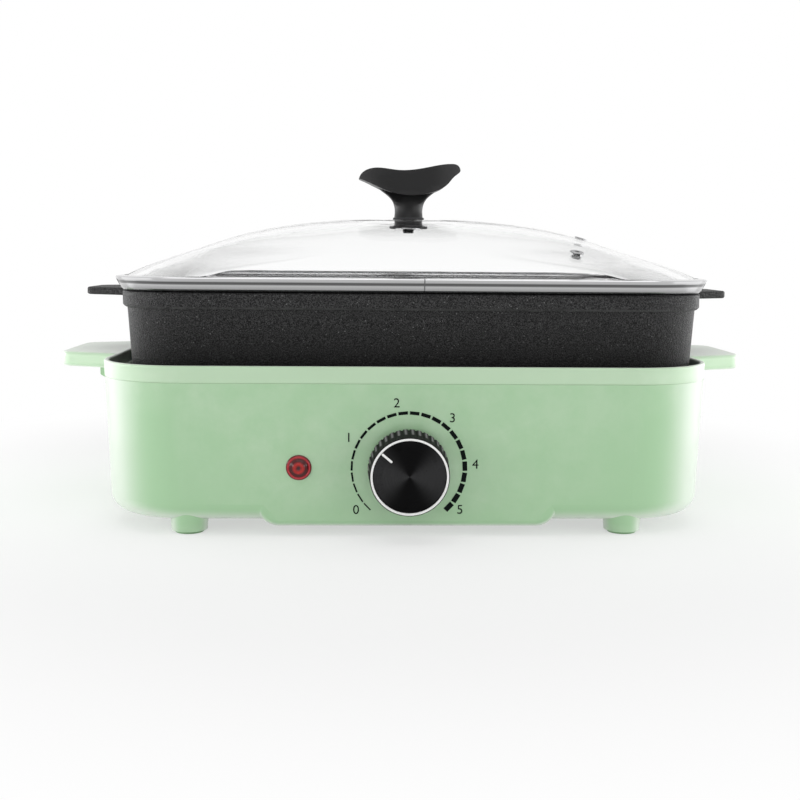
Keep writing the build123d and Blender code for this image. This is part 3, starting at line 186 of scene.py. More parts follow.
cloudValues = {
    "inputs": {"Size": 14.0, "Grain": 900.0, "Amount": 0.1},
    "cloudDetail": 4.0,
    "smearFiner": 3.7,  # times finer than the clouds
    "smearDetail": 5.0,
    "smearRoughness": 0.62,
    "grainDetail": 2.0,
}


# soft clouds of tone and gloss, with a fine grain for the bump
def makeCloudGroup(values):
    group, given, put = newGroup("softClouds", values["inputs"], ["Tone", "Gloss", "Height"])
    cloud = noiseNode(group, given["Vector"], given["Size"], values["cloudDetail"])
    smearSize = mathNode(group, "MULTIPLY", given["Size"], values["smearFiner"])
    smear = noiseNode(group, given["Vector"], smearSize, values["smearDetail"], values["smearRoughness"])
    tone = mathNode(group, "MULTIPLY", mathNode(group, "SUBTRACT", cloud, 0.5), given["Amount"])
    gloss = mathNode(group, "MULTIPLY", mathNode(group, "SUBTRACT", smear, 0.5), given["Amount"])
    plug(group, put["Tone"], mathNode(group, "ADD", tone, 1.0))
    plug(group, put["Gloss"], gloss)
    plug(group, put["Height"], noiseNode(group, given["Vector"], given["Grain"], values["grainDetail"]))
    return group


wearAndHighlightValues = {
    "inputs": {"Pointiness": 0.5, "From": 0.52, "To": 0.6, "Breakup": 60.0},
    "detail": 6.0,
    "roughness": 0.65,
    "speckles": (0.35, 0.65),  # noise that turns from least marked to fully marked
    "leastMarked": 0.25,
}


# 1 on edges that stand out, broken up by noise
def makeWearGroup(values):
    group, given, put = newGroup("edgeWearAndHighlight", values["inputs"], ["Mask"])
    edge = rangeNode(group, given["Pointiness"], given["From"], given["To"])
    speckle = noiseNode(group, given["Vector"], given["Breakup"], values["detail"], values["roughness"])
    broken = rangeNode(group, speckle, *values["speckles"], values["leastMarked"])
    plug(group, put["Mask"], mathNode(group, "MULTIPLY", edge, broken, True))
    return group


pebbleValues = {
    "inputs": {"Size": 700.0, "Flecks": 0.06},  # Flecks is the share of cells that carry one
    "bendFiner": 0.4,  # size of the noise that pushes the pebbles out of round
    "bendBy": 0.0012,  # metres
    "pebbleEdge": 0.75,
    "fineFiner": 1.9,
    "fineRoughness": 0.6,
    "fineShare": 0.6,
    "fleckFiner": 0.8,
    "fleckEdge": (0.18, 0.34),
}


# a pebbled skin with pale flecks, as a sprayed coating has
def makePebbleGroup(values):
    group, given, put = newGroup("pebbles", values["inputs"], ["Height", "Fleck", "Tone"])
    bendSize = mathNode(group, "MULTIPLY", given["Size"], values["bendFiner"])
    bend = noiseNode(group, given["Vector"], bendSize, 2.0, output="Color")
    centred = vectorNode(group, "SUBTRACT", bend, (0.5, 0.5, 0.5))
    bent = vectorNode(group, "ADD", given["Vector"], vectorNode(group, "SCALE", centred, values["bendBy"]))
    rounded = rangeNode(group, cellNode(group, bent, given["Size"])["Distance"], 0.0, values["pebbleEdge"],
                        1.0, 0.0, True)
    fineSize = mathNode(group, "MULTIPLY", given["Size"], values["fineFiner"])
    fine = noiseNode(group, given["Vector"], fineSize, roughness=values["fineRoughness"])
    fineHeight = mathNode(group, "MULTIPLY", fine, values["fineShare"])
    plug(group, put["Height"], mathNode(group, "ADD", rounded, fineHeight))
    plug(group, put["Tone"], fine)
    spots = cellNode(group, bent, mathNode(group, "MULTIPLY", given["Size"], values["fleckFiner"]))
    draw = addNode(group, "ShaderNodeSeparateColor")
    plug(group, draw.inputs[0], spots["Color"])
    chosen = mathNode(group, "LESS_THAN", draw.outputs[0], given["Flecks"])
    inside = rangeNode(group, spots["Distance"], *values["fleckEdge"], 1.0, 0.0, True)
    plug(group, put["Fleck"], mathNode(group, "MULTIPLY", chosen, inside))
    return group


brushValues = {
    "inputs": {"Stretch": (20.0, 20.0, 4000.0), "Amount": 0.2},
    "lineDetail": 5.0,
    "lineRoughness": 0.7,
    "lineShare": 0.6,
    "wideCoarser": 0.21,
    "wideRoughness": 0.6,
    "wideShare": 0.4,
}


# fine parallel lines; Stretch is small along the lines and large across them
def makeBrushGroup(values):
    group, given, put = newGroup("brushLines", values["inputs"], ["Tone", "Gloss", "Height"])
    spread = vectorNode(group, "MULTIPLY", given["Vector"], given["Stretch"])
    lines = noiseNode(group, spread, 1.0, values["lineDetail"], values["lineRoughness"])
    coarse = vectorNode(group, "SCALE", spread, values["wideCoarser"])
    wide = noiseNode(group, coarse, 1.0, roughness=values["wideRoughness"])
    both = mathNode(group, "ADD", mathNode(group, "MULTIPLY", lines, values["lineShare"]),
                    mathNode(group, "MULTIPLY", wide, values["wideShare"]))
    centred = mathNode(group, "MULTIPLY", mathNode(group, "SUBTRACT", both, 0.5), given["Amount"])
    plug(group, put["Tone"], mathNode(group, "ADD", centred, 1.0))
    plug(group, put["Gloss"], centred)
    plug(group, put["Height"], lines)
    return group


cloudGroup = makeCloudGroup(cloudValues)
wearAndHighlightGroup = makeWearGroup(wearAndHighlightValues)
pebbleGroup = makePebbleGroup(pebbleValues)
brushGroup = makeBrushGroup(brushValues)
print("shader groups made")


def newMaterial(name):
    material = bpy.data.materials.new(name)
    material.use_nodes = True
    tree = material.node_tree
    tree.nodes.clear()
    output = addNode(tree, "ShaderNodeOutputMaterial")
    shader = addNode(tree, "ShaderNodeBsdfPrincipled")
    tree.links.new(shader.outputs["BSDF"], output.inputs["Surface"])
    return material, tree, shader, addNode(tree, "ShaderNodeTexCoord").outputs["Object"]


# the sockets that stay the same all over a piece
def setPlainSockets(shader, values):
    for label in ("Metallic", "Coat Weight", "Coat Roughness", "Specular IOR Level", "IOR", "Anisotropic"):
        if label in values:
            shader.inputs[label].default_value = values[label]


def setRoughness(tree, shader, gloss, roughness):
    plug(tree, shader.inputs["Roughness"], mathNode(tree, "ADD", gloss, roughness, True))


def addBump(tree, shader, height, values):
    bump = addNode(tree, "ShaderNodeBump")
    bump.inputs["Strength"].default_value = values["bump"]
    bump.inputs["Distance"].default_value = values["bumpDepth"]
    plug(tree, bump.inputs["Height"], height)
    plug(tree, shader.inputs["Normal"], bump.outputs["Normal"])


# paints edges that stand out paler: wear on the steel and black plastic, a painted highlight on the mint
# plastics
def wearEdges(tree, vector, colour, wearAndHighlight):
    pointiness = addNode(tree, "ShaderNodeNewGeometry").outputs["Pointiness"]
    mask = useGroup(tree, wearAndHighlightGroup, vector, Pointiness=pointiness)["Mask"]
    return mixColours(tree, mathNode(tree, "MULTIPLY", mask, wearAndHighlight["amount"]), colour, wearAndHighlight["colour"])


# painted sheen: satin plastic is painted paler where it is seen aslant, standing in for the highlight it
# catches there
def paleAslant(tree, colour, paintedSheen):
    slant = addNode(tree, "ShaderNodeLayerWeight")
    slant.inputs["Blend"].default_value = 0.5
    share = rangeNode(tree, slant.outputs["Facing"], paintedSheen["from"], paintedSheen["to"], 0.0, paintedSheen["amount"], True)
    return mixColours(tree, share, colour, paintedSheen["colour"])


# what a finish has where it gives no value of its own
usualFinish = {"amount": 0.1, "clouds": 14.0, "grain": 1200.0, "bump": 0.15, "bumpDepth": 0.0002}

finishValues = {
    # on the two mint finishes the pale edge colour is a painted highlight, not wear
    "mint_plastic": {"colour": (0.375, 0.615, 0.355), "roughness": 0.3, "amount": 0.008, "Coat Weight": 0.9,
                     "Coat Roughness": 0.14, "grain": 1500.0, "bump": 0.02,
                     "paintedSheen": {"colour": (0.9, 0.92, 0.88, 1), "amount": 0.6, "from": 0.12, "to": 0.6},
                     "wearAndHighlight": {"colour": (0.55, 0.72, 0.52, 1), "amount": 0.45}},
    # the rim frame's copy of mint_plastic, painted paler: a painted sheen on the collar and handles
    "mint_rim_painted_pale": {"colour": (0.53, 0.715, 0.50), "roughness": 0.38, "amount": 0.015, "Coat Weight": 0.25,
                 "Coat Roughness": 0.15, "grain": 1500.0, "bump": 0.02,
                 "paintedSheen": {"colour": (0.9, 0.92, 0.88, 1), "amount": 0.6, "from": 0.25, "to": 0.8},
                 "wearAndHighlight": {"colour": (0.78, 0.88, 0.75, 1), "amount": 0.6}},
    "foot_rubber": {"colour": (0.26, 0.45, 0.245), "roughness": 0.7, "bump": 0.3},
    "zinc_steel": {"colour": (0.62, 0.63, 0.64), "roughness": 0.3, "Metallic": 1.0,
                   "wearAndHighlight": {"colour": (0.8, 0.8, 0.8, 1), "amount": 0.6}},
    "bright_sheet": {"colour": (0.7, 0.71, 0.72), "roughness": 0.26, "Metallic": 1.0, "amount": 0.2,
                     "stretch": (900.0, 12.0, 12.0)},
    "heater_sheath": {"colour": (0.2, 0.19, 0.18), "roughness": 0.45, "Metallic": 1.0, "amount": 0.6,
                      "clouds": 60.0},
    "white_ceramic": {"colour": (0.78, 0.76, 0.7), "roughness": 0.5, "bump": 0.3},
    "brass_contact": {"colour": (0.75, 0.58, 0.28), "roughness": 0.28, "Metallic": 1.0},
    "sensor_aluminium": {"colour": (0.7, 0.71, 0.72), "roughness": 0.25, "Metallic": 1.0, "amount": 0.3,
                         "stretch": (30.0, 30.0, 3000.0)},
    "black_plastic": {"colour": (0.011, 0.011, 0.0115), "roughness": 0.36, "bump": 0.12, "amount": 0.12,
                      "Specular IOR Level": 0.25, "wearAndHighlight": {"colour": (0.05, 0.05, 0.05, 1), "amount": 0.5}},
    "vent_steel": {"colour": (0.32, 0.32, 0.325), "roughness": 0.4, "Metallic": 1.0, "clouds": 300.0},
    "seal_silicone": {"colour": (0.035, 0.035, 0.038), "roughness": 0.6},
    "shaft_steel": {"colour": (0.6, 0.6, 0.61), "roughness": 0.25, "Metallic": 1.0},
    "dial_white": {"colour": (0.93, 0.93, 0.92), "roughness": 0.4, "amount": 0.04},
    "print_black": {"colour": (0.004, 0.007, 0.006), "roughness": 0.6, "Specular IOR Level": 0.06},
    "fuse_case": {"colour": (0.7, 0.7, 0.7), "roughness": 0.3, "Metallic": 1.0},
    "sleeve_clear": {"colour": (0.75, 0.75, 0.7), "roughness": 0.4},
    "lead_brown": {"colour": (0.2, 0.09, 0.05), "roughness": 0.5},
    "lead_blue": {"colour": (0.06, 0.15, 0.4), "roughness": 0.5},
    "lead_green": {"colour": (0.3, 0.48, 0.08), "roughness": 0.5},
}


# one recipe for moulded, cast and plated pieces; a finish with "stretch" is brushed
def makeFinish(name, ownValues):
    values = {**usualFinish, **ownValues}
    material, tree, shader, vector = newMaterial(name)
    if "stretch" in values:
        skin = useGroup(tree, brushGroup, vector, Stretch=values["stretch"], Amount=values["amount"])
    else:
        skin = useGroup(tree, cloudGroup, vector, Size=values["clouds"], Grain=values["grain"],
                        Amount=values["amount"])
    colour = vectorNode(tree, "SCALE", values["colour"], skin["Tone"])
    if "wearAndHighlight" in values:
        colour = wearEdges(tree, vector, colour, values["wearAndHighlight"])
    # painted sheen: paler where the surface is seen aslant
    if "paintedSheen" in values:
        colour = paleAslant(tree, colour, values["paintedSheen"])
    plug(tree, shader.inputs["Base Color"], colour)
    setRoughness(tree, shader, skin["Gloss"], values["roughness"])
    setPlainSockets(shader, values)
    addBump(tree, shader, skin["Height"], values)
    return material


finishes = {name: makeFinish(name, values) for name, values in finishValues.items()}

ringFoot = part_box("pot")[1][2]  # the lid's ring stands on the pot's rim


coatingValues = {
    "colour": (0.003, 0.003, 0.0031),
    "lightColour": (0.041, 0.041, 0.0415),
    "fleckColour": (0.11, 0.11, 0.11, 1),
    "pebbleSize": 1050.0,
    "flecks": 0.05,
    "grainFiner": 1.5,  # times finer than the pebbles
    "grain": (0.38, 0.66),  # noise that turns from colour to lightColour
    "roughness": (0.38, 0.6),
    "bump": 0.9,
    "bumpDepth": 0.0004,
    "Specular IOR Level": 0.13,
    "heights": (-52.0, -6.0),  # millimetres from the pot's rim: painted shade, the wall grows lighter between them and is darker towards the bottom
    "paintedShades": (0.05, 1.7),
    "edgeHeights": (-9.7, -9.0, -8.4, -7.8),  # worn lower edge of the band
    "edgeColour": (0.075, 0.075, 0.075, 1),
    "edgeBreakup": 90.0,
    "edgeSpeckles": (0.35, 0.65),  # noise that turns from least worn to most worn
    "edgeWorn": (0.35, 0.9),  # least and most
}


def makeCoating(name, values):
    material, tree, shader, vector = newMaterial(name)
    skin = useGroup(tree, pebbleGroup, vector, Size=values["pebbleSize"], Flecks=values["flecks"])
    grain = noiseNode(tree, vector, values["pebbleSize"] * values["grainFiner"], 2.0, 0.6)
    light = rangeNode(tree, grain, *values["grain"], smooth=True)
    height = mathNode(tree, "SUBTRACT", splitVector(tree, vector)["Z"], ringFoot)
    # painted shade: darker towards the bottom of the wall, lighter towards the rim
    paintedShade = rangeNode(tree, height, *(level * mm for level in values["heights"]), *values["paintedShades"])
    coat = mixColours(tree, light, (*values["colour"], 1), (*values["lightColour"], 1))
    coat = mixColours(tree, skin["Fleck"], coat, values["fleckColour"])
    coat = vectorNode(tree, "SCALE", coat, paintedShade)
    low, lowFull, highFull, high = (level * mm for level in values["edgeHeights"])
    edge = mathNode(tree, "MULTIPLY", rangeNode(tree, height, low, lowFull),
                    rangeNode(tree, height, highFull, high, 1.0, 0.0))
    breakup = noiseNode(tree, vector, values["edgeBreakup"], 4.0)
    speckle = rangeNode(tree, breakup, *values["edgeSpeckles"], *values["edgeWorn"])
    worn = mathNode(tree, "MULTIPLY", edge, speckle)
    plug(tree, shader.inputs["Base Color"], mixColours(tree, worn, coat, values["edgeColour"]))
    plug(tree, shader.inputs["Roughness"], rangeNode(tree, skin["Tone"], *noiseSpan, *values["roughness"]))
    setPlainSockets(shader, values)
    addBump(tree, shader, skin["Height"], values)
    return material


finishes["pot_coating"] = makeCoating("potCoating", coatingValues)


ringValues = {
    "colour": (0.45, 0.45, 0.455),
    "roughness": 0.16,
    "amount": 0.3,
    "stretch": (10.0, 10.0, 6000.0),
    "Metallic": 1.0,
    "bump": 0.12,
    "bumpDepth": 0.0001,
    "paintedBands": (  # millimetres above the ring's foot, and how bright the rolled sheet is painted there: painted reflections and shade in bands
        (-1.0, 0.15), (0.7, 0.15), (1.2, 0.6), (4.4, 1.15), (4.9, 0.35), (6.0, 0.2), (6.6, 1.0), (8.6, 1.25),
    ),
    "seamX": 0.0085,  # butt joint of the ring, at the front
    "seamWidth": 0.0005,
    "seamColour": (0.12, 0.12, 0.12, 1),
    "seamShare": 0.8,
    "seamDepth": 3.0,  # against the brush lines
}


def makeRingSteel(name, values):
    material, tree, shader, vector = newMaterial(name)
    skin = useGroup(tree, brushGroup, vector, Stretch=values["stretch"], Amount=values["amount"])
    place = splitVector(tree, vector)
    lowest, highest = values["paintedBands"][0][0], values["paintedBands"][-1][0]
    span = highest - lowest
    steps = [((height - lowest) / span, (tone, tone, tone, 1)) for height, tone in values["paintedBands"]]
    # painted reflection and shade: light and dark bands by height on the rolled sheet
    level = rangeNode(tree, place["Z"], ringFoot + lowest * mm, ringFoot + highest * mm)
    colour = vectorNode(tree, "SCALE", values["colour"], skin["Tone"])
    colour = vectorNode(tree, "MULTIPLY", colour, colourSteps(tree, level, steps))
    fromSeam = mathNode(tree, "ABSOLUTE", mathNode(tree, "SUBTRACT", place["X"], values["seamX"]))
    line = rangeNode(tree, fromSeam, values["seamWidth"] / 2, values["seamWidth"], 1.0, 0.0, True)
    seam = mathNode(tree, "MULTIPLY", line, mathNode(tree, "LESS_THAN", place["Y"], 0.0))
    seamMask = mathNode(tree, "MULTIPLY", seam, values["seamShare"])
    plug(tree, shader.inputs["Base Color"], mixColours(tree, seamMask, colour, values["seamColour"]))
    setRoughness(tree, shader, skin["Gloss"], values["roughness"])
    setPlainSockets(shader, values)
    groove = mathNode(tree, "MULTIPLY", seam, values["seamDepth"])
    addBump(tree, shader, mathNode(tree, "SUBTRACT", skin["Height"], groove), values)
    return material


finishes["lid_steel"] = makeRingSteel("lidSteel", ringValues)


glassValues = {
    "colour": (0.995, 0.997, 0.996, 1),
    "edgeColour": (0.84, 0.85, 0.848, 1),  # where it is seen edge on
    "edgeBlend": 0.04,
    "edgePower": 3.0,
    "IOR": 1.07,
    "Specular IOR Level": 0.5,
    "filmSize": 9.0,
    "roughness": (0.0, 0.02),
}


def makeGlass(name, values):
    material, tree, shader, vector = newMaterial(name)
    facing = addNode(tree, "ShaderNodeLayerWeight")
    facing.inputs["Blend"].default_value = values["edgeBlend"]
    edge = mathNode(tree, "POWER", facing.outputs["Facing"], values["edgePower"])
    plug(tree, shader.inputs["Base Color"], mixColours(tree, edge, values["colour"], values["edgeColour"]))
    shader.inputs["Transmission Weight"].default_value = 1.0
    film = noiseNode(tree, vector, values["filmSize"], 4.0)
    plug(tree, shader.inputs["Roughness"], rangeNode(tree, film, *noiseSpan, *values["roughness"]))
    setPlainSockets(shader, values)
    return material


finishes["clear_glass"] = makeGlass("clearGlass", glassValues)
print("finishes made:", len(finishes))


# the front panel's own frame: its middle on the dial's axis, x right, y up the panel, z out of it
dialJoint = next(joint for joint in frame["record"]["behaviour"]["joints"] if joint["name"] == "dial_turn")
panelOut = -Vector(dialJoint["axis"])
panelUp = Vector((0, panelOut.z, -panelOut.y))
panelPlace = Matrix((Vector((1, 0, 0)), panelUp, panelOut)).transposed().to_4x4()
panelPlace.translation = Vector(dialJoint["pos_m"])


def finishPiece(name, bm, place, body, slot, sharp):
    bmesh.ops.transform(bm, matrix=place, verts=bm.verts)
    mesh = bpy.data.meshes.new(name)
    bm.to_mesh(mesh)
    bm.free()
    mesh.shade_smooth()
    mesh.set_sharp_from_angle(angle=math.radians(sharp))
    mesh.materials.append(finishes[slot])
    piece = bpy.data.objects.new(name, mesh)
    bpy.context.scene.collection.objects.link(piece)
    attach(piece, body)
    return piece


# turns an outline of (radius, height) in millimetres into a closed round solid
def turnedSolid(outline, steps):
    bm = bmesh.new()
    verts = [bm.verts.new((radius * mm, 0, height * mm)) for radius, height in outline]
    for first, second in zip(verts, verts[1:]):
        bm.edges.new((first, second))
    bmesh.ops.spin(bm, geom=bm.verts[:] + bm.edges[:], cent=(0, 0, 0), axis=(0, 0, 1), angle=2 * math.pi,
                   steps=steps, use_merge=True)
    bmesh.ops.remove_doubles(bm, verts=bm.verts, dist=1e-6)
    bmesh.ops.recalc_face_normals(bm, faces=bm.faces)
    return bm


knobValues = {
    "colour": (0.012, 0.011, 0.012),
    "clouds": 60.0,
    "grain": 1500.0,
    "amount": 0.15,
    "paintedRibHighlight": (0.22, 0.21, 0.22, 1),
    "ribs": 36,
    "ribSharpness": 7.0,
    "ribsFrom": 22.9,  # millimetres from the dial's axis
    "roughness": 0.55,
    "bump": 0.1,
    "bumpDepth": 0.0001,
    "Specular IOR Level": 0.05,
}


# black moulding with its ribs painted pale along their tops: a painted highlight
def makeKnobPlastic(name, values):
    material, tree, shader, vector = newMaterial(name)
    skin = useGroup(tree, cloudGroup, vector, Size=values["clouds"], Grain=values["grain"],
                    Amount=values["amount"])
    spot = vectorNode(tree, "SUBTRACT", vector, tuple(panelPlace.translation))
    across = vectorNode(tree, "DOT_PRODUCT", spot, (1, 0, 0), "Value")
    upward = vectorNode(tree, "DOT_PRODUCT", spot, tuple(panelUp), "Value")
    angle = mathNode(tree, "ARCTAN2", upward, across)
    wave = mathNode(tree, "SINE", mathNode(tree, "MULTIPLY", angle, values["ribs"] / 2))
    rib = mathNode(tree, "POWER", mathNode(tree, "ABSOLUTE", wave), values["ribSharpness"])
    square = mathNode(tree, "ADD", mathNode(tree, "MULTIPLY", across, across),
                      mathNode(tree, "MULTIPLY", upward, upward))
    outside = mathNode(tree, "GREATER_THAN", mathNode(tree, "SQRT", square), values["ribsFrom"] * mm)
    ribHighlightMask = mathNode(tree, "MULTIPLY", rib, outside)
    colour = vectorNode(tree, "SCALE", values["colour"], skin["Tone"])
    plug(tree, shader.inputs["Base Color"], mixColours(tree, ribHighlightMask, colour, values["paintedRibHighlight"]))
    setRoughness(tree, shader, skin["Gloss"], values["roughness"])
    setPlainSockets(shader, values)
    addBump(tree, shader, skin["Height"], values)
    return material


finishes["knob_plastic"] = makeKnobPlastic("knobPlastic", knobValues)


faceValues = {
    "radius": 20.7,
    "front": 21.2,  # millimetres out of the panel
    "back": 20.5,
    "edge": 0.15,  # height of the rounded edge
    "ringShares": (0.0, 0.02, 0.25, 0.5, 0.75, 0.985),
    "steps": 128,
    "sharp": 35,
    "colour": (0.032, 0.032, 0.033),  # towards the sides, where a painted reflection shines
    "paintedDark": 0.2,  # share of it towards the top and bottom, a painted shade of the reflection
    "paintedDarkFrom": -0.8,
    "roughness": 0.3,
    "Anisotropic": 0.85,
    "Metallic": 1.0,
    "rings": 130.0,
    "ringBreaks": 3.0,  # how often a ring's tone changes on its way round
    "ringSpan": (0.2, 0.8),  # noise that turns from the darkest ring to the lightest
    "ringAmount": 0.35,
    "clouds": 120.0,
    "amount": 0.12,
    "bump": 0.1,
    "bumpDepth": 0.00005,
}


# turned metal: fine rings round the dial's axis, gloss that runs along them, and a painted reflection that
# is lighter at the sides and darker at the top and bottom
def makeSpunMetal(name, values):
    material, tree, shader, vector = newMaterial(name)
    turned = splitVector(tree, addNode(tree, "ShaderNodeUVMap", uv_map="spun").outputs["UV"])
    join = addNode(tree, "ShaderNodeCombineXYZ")
    plug(tree, join.inputs["X"], mathNode(tree, "MULTIPLY", turned["X"], values["ringBreaks"]))
    plug(tree, join.inputs["Y"], mathNode(tree, "MULTIPLY", turned["Y"], values["rings"]))
    rings = noiseNode(tree, join.outputs["Vector"], 1.0, 4.0, 0.7)
    tone = rangeNode(tree, rings, *values["ringSpan"], 1 - values["ringAmount"], 1 + values["ringAmount"])
    # painted reflection: lighter towards the sides, darker towards the top and bottom
    wave = mathNode(tree, "COSINE", mathNode(tree, "MULTIPLY", turned["X"], 4 * math.pi))
    paintedShine = rangeNode(tree, wave, values["paintedDarkFrom"], 1.0, values["paintedDark"], 1.0, True)
    colour = vectorNode(tree, "SCALE", values["colour"], mathNode(tree, "MULTIPLY", tone, paintedShine))
    plug(tree, shader.inputs["Base Color"], colour)
    cloud = useGroup(tree, cloudGroup, vector, Size=values["clouds"], Amount=values["amount"])
    setRoughness(tree, shader, cloud["Gloss"], values["roughness"])
    setPlainSockets(shader, values)
    tangent = addNode(tree, "ShaderNodeTangent", direction_type="UV_MAP", uv_map="spun")
    plug(tree, shader.inputs["Tangent"], tangent.outputs["Tangent"])
    addBump(tree, shader, rings, values)
    return material


# its own UV map runs round the axis and from the middle to the edge
def makeDialFace(values):
    radius, front, back = values["radius"], values["front"], values["back"]
    rings = [(radius * share, front) for share in values["ringShares"]]
    outline = [*rings, (radius, front - values["edge"]), (radius, back), (0.0, back)]
    bm = turnedSolid(outline, values["steps"])
    spun = bm.loops.layers.uv.new("spun")
    for face in bm.faces:
        middle = face.calc_center_median()
        aim = math.atan2(middle.y, middle.x)
        for loop in face.loops:
            spot = loop.vert.co
            distance = math.hypot(spot.x, spot.y)
            angle = math.atan2(spot.y, spot.x) if distance > 1e-6 else aim
            angle = aim + (angle - aim + math.pi) % (2 * math.pi) - math.pi
            loop[spun].uv = (angle / (2 * math.pi), distance / (radius * mm))
    piece = finishPiece("dialFace", bm, panelPlace, "dial", "dial_black_metal", values["sharp"])
    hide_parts("dial_face")


finishes["dial_black_metal"] = makeSpunMetal("spunFace", faceValues)
makeDialFace(faceValues)
print("dial face made")


numberValues = {
    "ring": 38.9,  # millimetres from the dial's axis to a number's middle
    "angles": (-129.2, -62.3, -10.4, 40.2, 86.3, 128.9),  # clockwise from straight up
    "height": 5.4,
    "heightShare": 0.7,  # a digit's height against the font's size
    "thickness": 0.12,
    "sharp": 30,
}


def makeNumbers(values):
    bm = bmesh.new()
    for number, angle in enumerate(values["angles"]):
        text = bpy.data.curves.new("number", "FONT")
        text.body = str(number)
        text.align_x, text.align_y = "CENTER", "CENTER"
        text.size = values["height"] * mm / values["heightShare"]
        text.extrude = values["thickness"] * mm / 2
        holder = bpy.data.objects.new("number", text)
        mesh = bpy.data.meshes.new_from_object(holder)
        turn = math.radians(angle)
        middle = Vector((math.sin(turn), math.cos(turn), 0)) * values["ring"] * mm
        mesh.transform(Matrix.Translation(middle + Vector((0, 0, values["thickness"] * mm / 2))))
        bm.from_mesh(mesh)
        bpy.data.objects.remove(holder)
        bpy.data.curves.remove(text)
        bpy.data.meshes.remove(mesh)
    bmesh.ops.remove_doubles(bm, verts=bm.verts, dist=1e-8)  # closes the walls, and keeps thin strokes
    bmesh.ops.recalc_face_normals(bm, faces=bm.faces)
    finishPiece("dialNumbers", bm, panelPlace, "base", "print_black", values["sharp"])


makeNumbers(numberValues)
print("dial numbers made")


lensValues = {
    "place": (-63.2, 0.6),  # millimetres from the dial's axis, on the panel
    "radius": 7.4,
    "outline": (  # radius and height, from the middle of the front round to the bore
        (0.0, 2.3), (0.7, 2.35), (1.2, 2.6), (1.8, 2.78), (2.6, 2.8), (3.3, 2.62), (3.7, 2.2), (4.3, 1.95),
        (5.0, 1.7), (5.5, 1.25), (5.8, 0.95), (6.05, 1.15), (6.4, 1.22), (6.8, 1.1), (7.2, 0.8), (7.4, 0.4),
        (7.4, 0.0), (5.6, 0.0), (5.6, -11.0), (4.4, -11.0), (4.4, 0.6), (0.0, 0.6),
    ),
    "steps": 64,
    "sharp": 50,
    "rings": (  # share of the radius, and colour: the red plastic's own colour with painted light and shade, lighter on the two raised rings, darker between them and in the middle
        (0.0, (0.05, 0.004, 0.008, 1)), (0.12, (0.08, 0.006, 0.008, 1)), (0.2, (0.3, 0.012, 0.01, 1)),
        (0.34, (0.46, 0.018, 0.014, 1)), (0.45, (0.3, 0.01, 0.01, 1)), (0.53, (0.06, 0.002, 0.003, 1)),
        (0.73, (0.08, 0.003, 0.004, 1)), (0.8, (0.5, 0.03, 0.04, 1)), (0.87, (0.5, 0.035, 0.045, 1)),
        (0.93, (0.16, 0.006, 0.009, 1)), (1.0, (0.12, 0.004, 0.006, 1)),
    ),
    "clouds": 500.0,
    "amount": 0.5,
    "roughness": 0.16,
    "Specular IOR Level": 0.3,
    "Coat Weight": 0.15,
    "Coat Roughness": 0.05,
    "bump": 0.05,
    "bumpDepth": 0.0001,
}

lensPlace = panelPlace @ Matrix.Translation((*(offset * mm for offset in lensValues["place"]), 0))


# red plastic, in rings round the lens's own axis: its own red with painted light and shade on the raised
# rings
def makeLensPlastic(name, values):
    material, tree, shader, vector = newMaterial(name)
    spot = vectorNode(tree, "SUBTRACT", vector, tuple(lensPlace.translation))
    alongAxis = vectorNode(tree, "DOT_PRODUCT", spot, tuple(panelOut), "Value")
    onPanel = vectorNode(tree, "SUBTRACT", spot, vectorNode(tree, "SCALE", tuple(panelOut), alongAxis))
    distance = vectorNode(tree, "LENGTH", onPanel, output="Value")
    reach = mathNode(tree, "DIVIDE", distance, values["radius"] * mm)
    skin = useGroup(tree, cloudGroup, vector, Size=values["clouds"], Amount=values["amount"])
    colour = vectorNode(tree, "SCALE", colourSteps(tree, reach, values["rings"]), skin["Tone"])
    plug(tree, shader.inputs["Base Color"], colour)
    setRoughness(tree, shader, skin["Gloss"], values["roughness"])
    setPlainSockets(shader, values)
    addBump(tree, shader, skin["Height"], values)
    return material


def makeLens(values):
    bm = turnedSolid(values["outline"], values["steps"])
    piece = finishPiece("indicatorLens", bm, lensPlace, "base", "red_lens", values["sharp"])
    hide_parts("indicator_lens")


finishes["red_lens"] = makeLensPlastic("redLens", lensValues)
makeLens(lensValues)
print("indicator lens made")


# nodes whose finish isn't the one of their slot
ownFinish = {"rim_frame": "mint_rim_painted_pale", "dial_knob": "knob_plastic", "steam_vents": "vent_steel"}
slotOfNode = {part["node"]: part["material_slot"] for part in frame["record"]["subparts"]}
for nodeName, node in nodes.items():
    material = finishes[ownFinish.get(nodeName, slotOfNode[nodeName])]
    if node.material_slots:
        for materialSlot in node.material_slots:
            materialSlot.material = material
    else:
        node.data.materials.append(material)
print("finishes placed on the nodes")


stageValues = {
    "floorSize": 6.0,  # metres from the middle to an edge
    "floorColour": (0.9, 0.9, 0.9, 1),
    "whiteFrom": 0.28,  # metres from the middle where the floor starts to turn into plain white
    "whiteTo": 0.5,
    "nearWhite": 0.55,  # share of plain white in the floor near the object
    "worldStrength": 0.45,
    "lamps": {
        # name: place, aimed at, size across, size up, watts
        "topBox": ((0.0, -0.1, 1.5), (0, 0, 0.1), 1.6, 1.2, 6.5),
        "leftStrip": ((-0.62, -0.1, 0.15), (0, -0.1, 0.15), 1.5, 0.16, 2.6),
        "rightStrip": ((0.62, -0.1, 0.15), (0, -0.1, 0.15), 1.5, 0.16, 2.6),
        "leftPanel": ((-0.37, -0.06, 0.07), (0, -0.06, 0.07), 0.28, 0.12, 0.05),
        "rightPanel": ((0.37, -0.06, 0.07), (0, -0.06, 0.07), 0.28, 0.12, 0.05),
        "frontBox": ((0.1, -1.9, 1.0), (0, 0, 0.1), 1.4, 0.8, 2.9),
    },
}


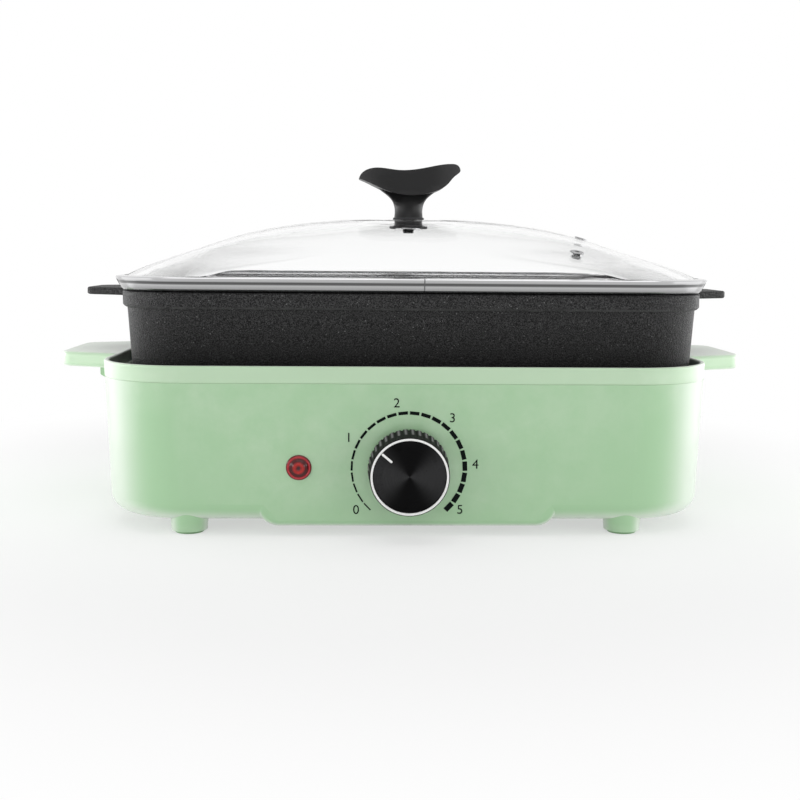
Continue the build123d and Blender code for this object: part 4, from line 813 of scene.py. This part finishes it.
# 1 where the camera, a reflection or glass sees the surface, 0 where it lights the object
def seenRays(tree):
    path = addNode(tree, "ShaderNodeLightPath")
    seen = mathNode(tree, "MAXIMUM", path.outputs["Is Camera Ray"], path.outputs["Is Glossy Ray"])
    return mathNode(tree, "MAXIMUM", seen, path.outputs["Is Transmission Ray"])


def makeFloor(values):
    bm = bmesh.new()
    bmesh.ops.create_grid(bm, x_segments=2, y_segments=2, size=values["floorSize"])
    mesh = bpy.data.meshes.new("floor")
    bm.to_mesh(mesh)
    bm.free()
    floor = bpy.data.objects.new("floor", mesh)
    bpy.context.scene.collection.objects.link(floor)
    material = bpy.data.materials.new("floorWhite")
    material.use_nodes = True
    tree = material.node_tree
    tree.nodes.clear()
    lit = addNode(tree, "ShaderNodeBsdfDiffuse")
    lit.inputs["Color"].default_value = values["floorColour"]
    plain = addNode(tree, "ShaderNodeEmission")
    spot = addNode(tree, "ShaderNodeTexCoord").outputs["Object"]
    distance = vectorNode(tree, "LENGTH", spot, output="Value")
    white = rangeNode(tree, distance, values["whiteFrom"], values["whiteTo"], values["nearWhite"], 1.0, True)
    mix = addNode(tree, "ShaderNodeMixShader")
    plug(tree, mix.inputs["Fac"], mathNode(tree, "MULTIPLY", white, seenRays(tree)))
    tree.links.new(lit.outputs["BSDF"], mix.inputs[1])
    tree.links.new(plain.outputs["Emission"], mix.inputs[2])
    tree.links.new(mix.outputs["Shader"], addNode(tree, "ShaderNodeOutputMaterial").inputs["Surface"])
    mesh.materials.append(material)


def makeWorld(values):
    world = bpy.data.worlds.new("studio")
    bpy.context.scene.world = world
    world.use_nodes = True
    tree = world.node_tree
    tree.nodes.clear()
    background = addNode(tree, "ShaderNodeBackground")
    background.inputs["Color"].default_value = (1, 1, 1, 1)
    strength = rangeNode(tree, seenRays(tree), 0.0, 1.0, values["worldStrength"], 1.0)
    plug(tree, background.inputs["Strength"], strength)
    output = addNode(tree, "ShaderNodeOutputWorld")
    tree.links.new(background.outputs["Background"], output.inputs["Surface"])


def makeLamps(values):
    for name, (place, target, sizeAcross, sizeUp, watts) in values["lamps"].items():
        lamp = bpy.data.lights.new(name, "AREA")
        lamp.shape = "RECTANGLE"
        lamp.size, lamp.size_y, lamp.energy = sizeAcross, sizeUp, watts
        holder = bpy.data.objects.new(name, lamp)
        bpy.context.scene.collection.objects.link(holder)
        holder.location = place
        holder.visible_camera = False
        holder.rotation_mode = "QUATERNION"
        holder.rotation_quaternion = (Vector(target) - Vector(place)).to_track_quat("-Z", "Y")


makeFloor(stageValues)
makeWorld(stageValues)
makeLamps(stageValues)
bpy.context.scene.view_settings.view_transform = "Standard"
print("floor, world and lamps set")
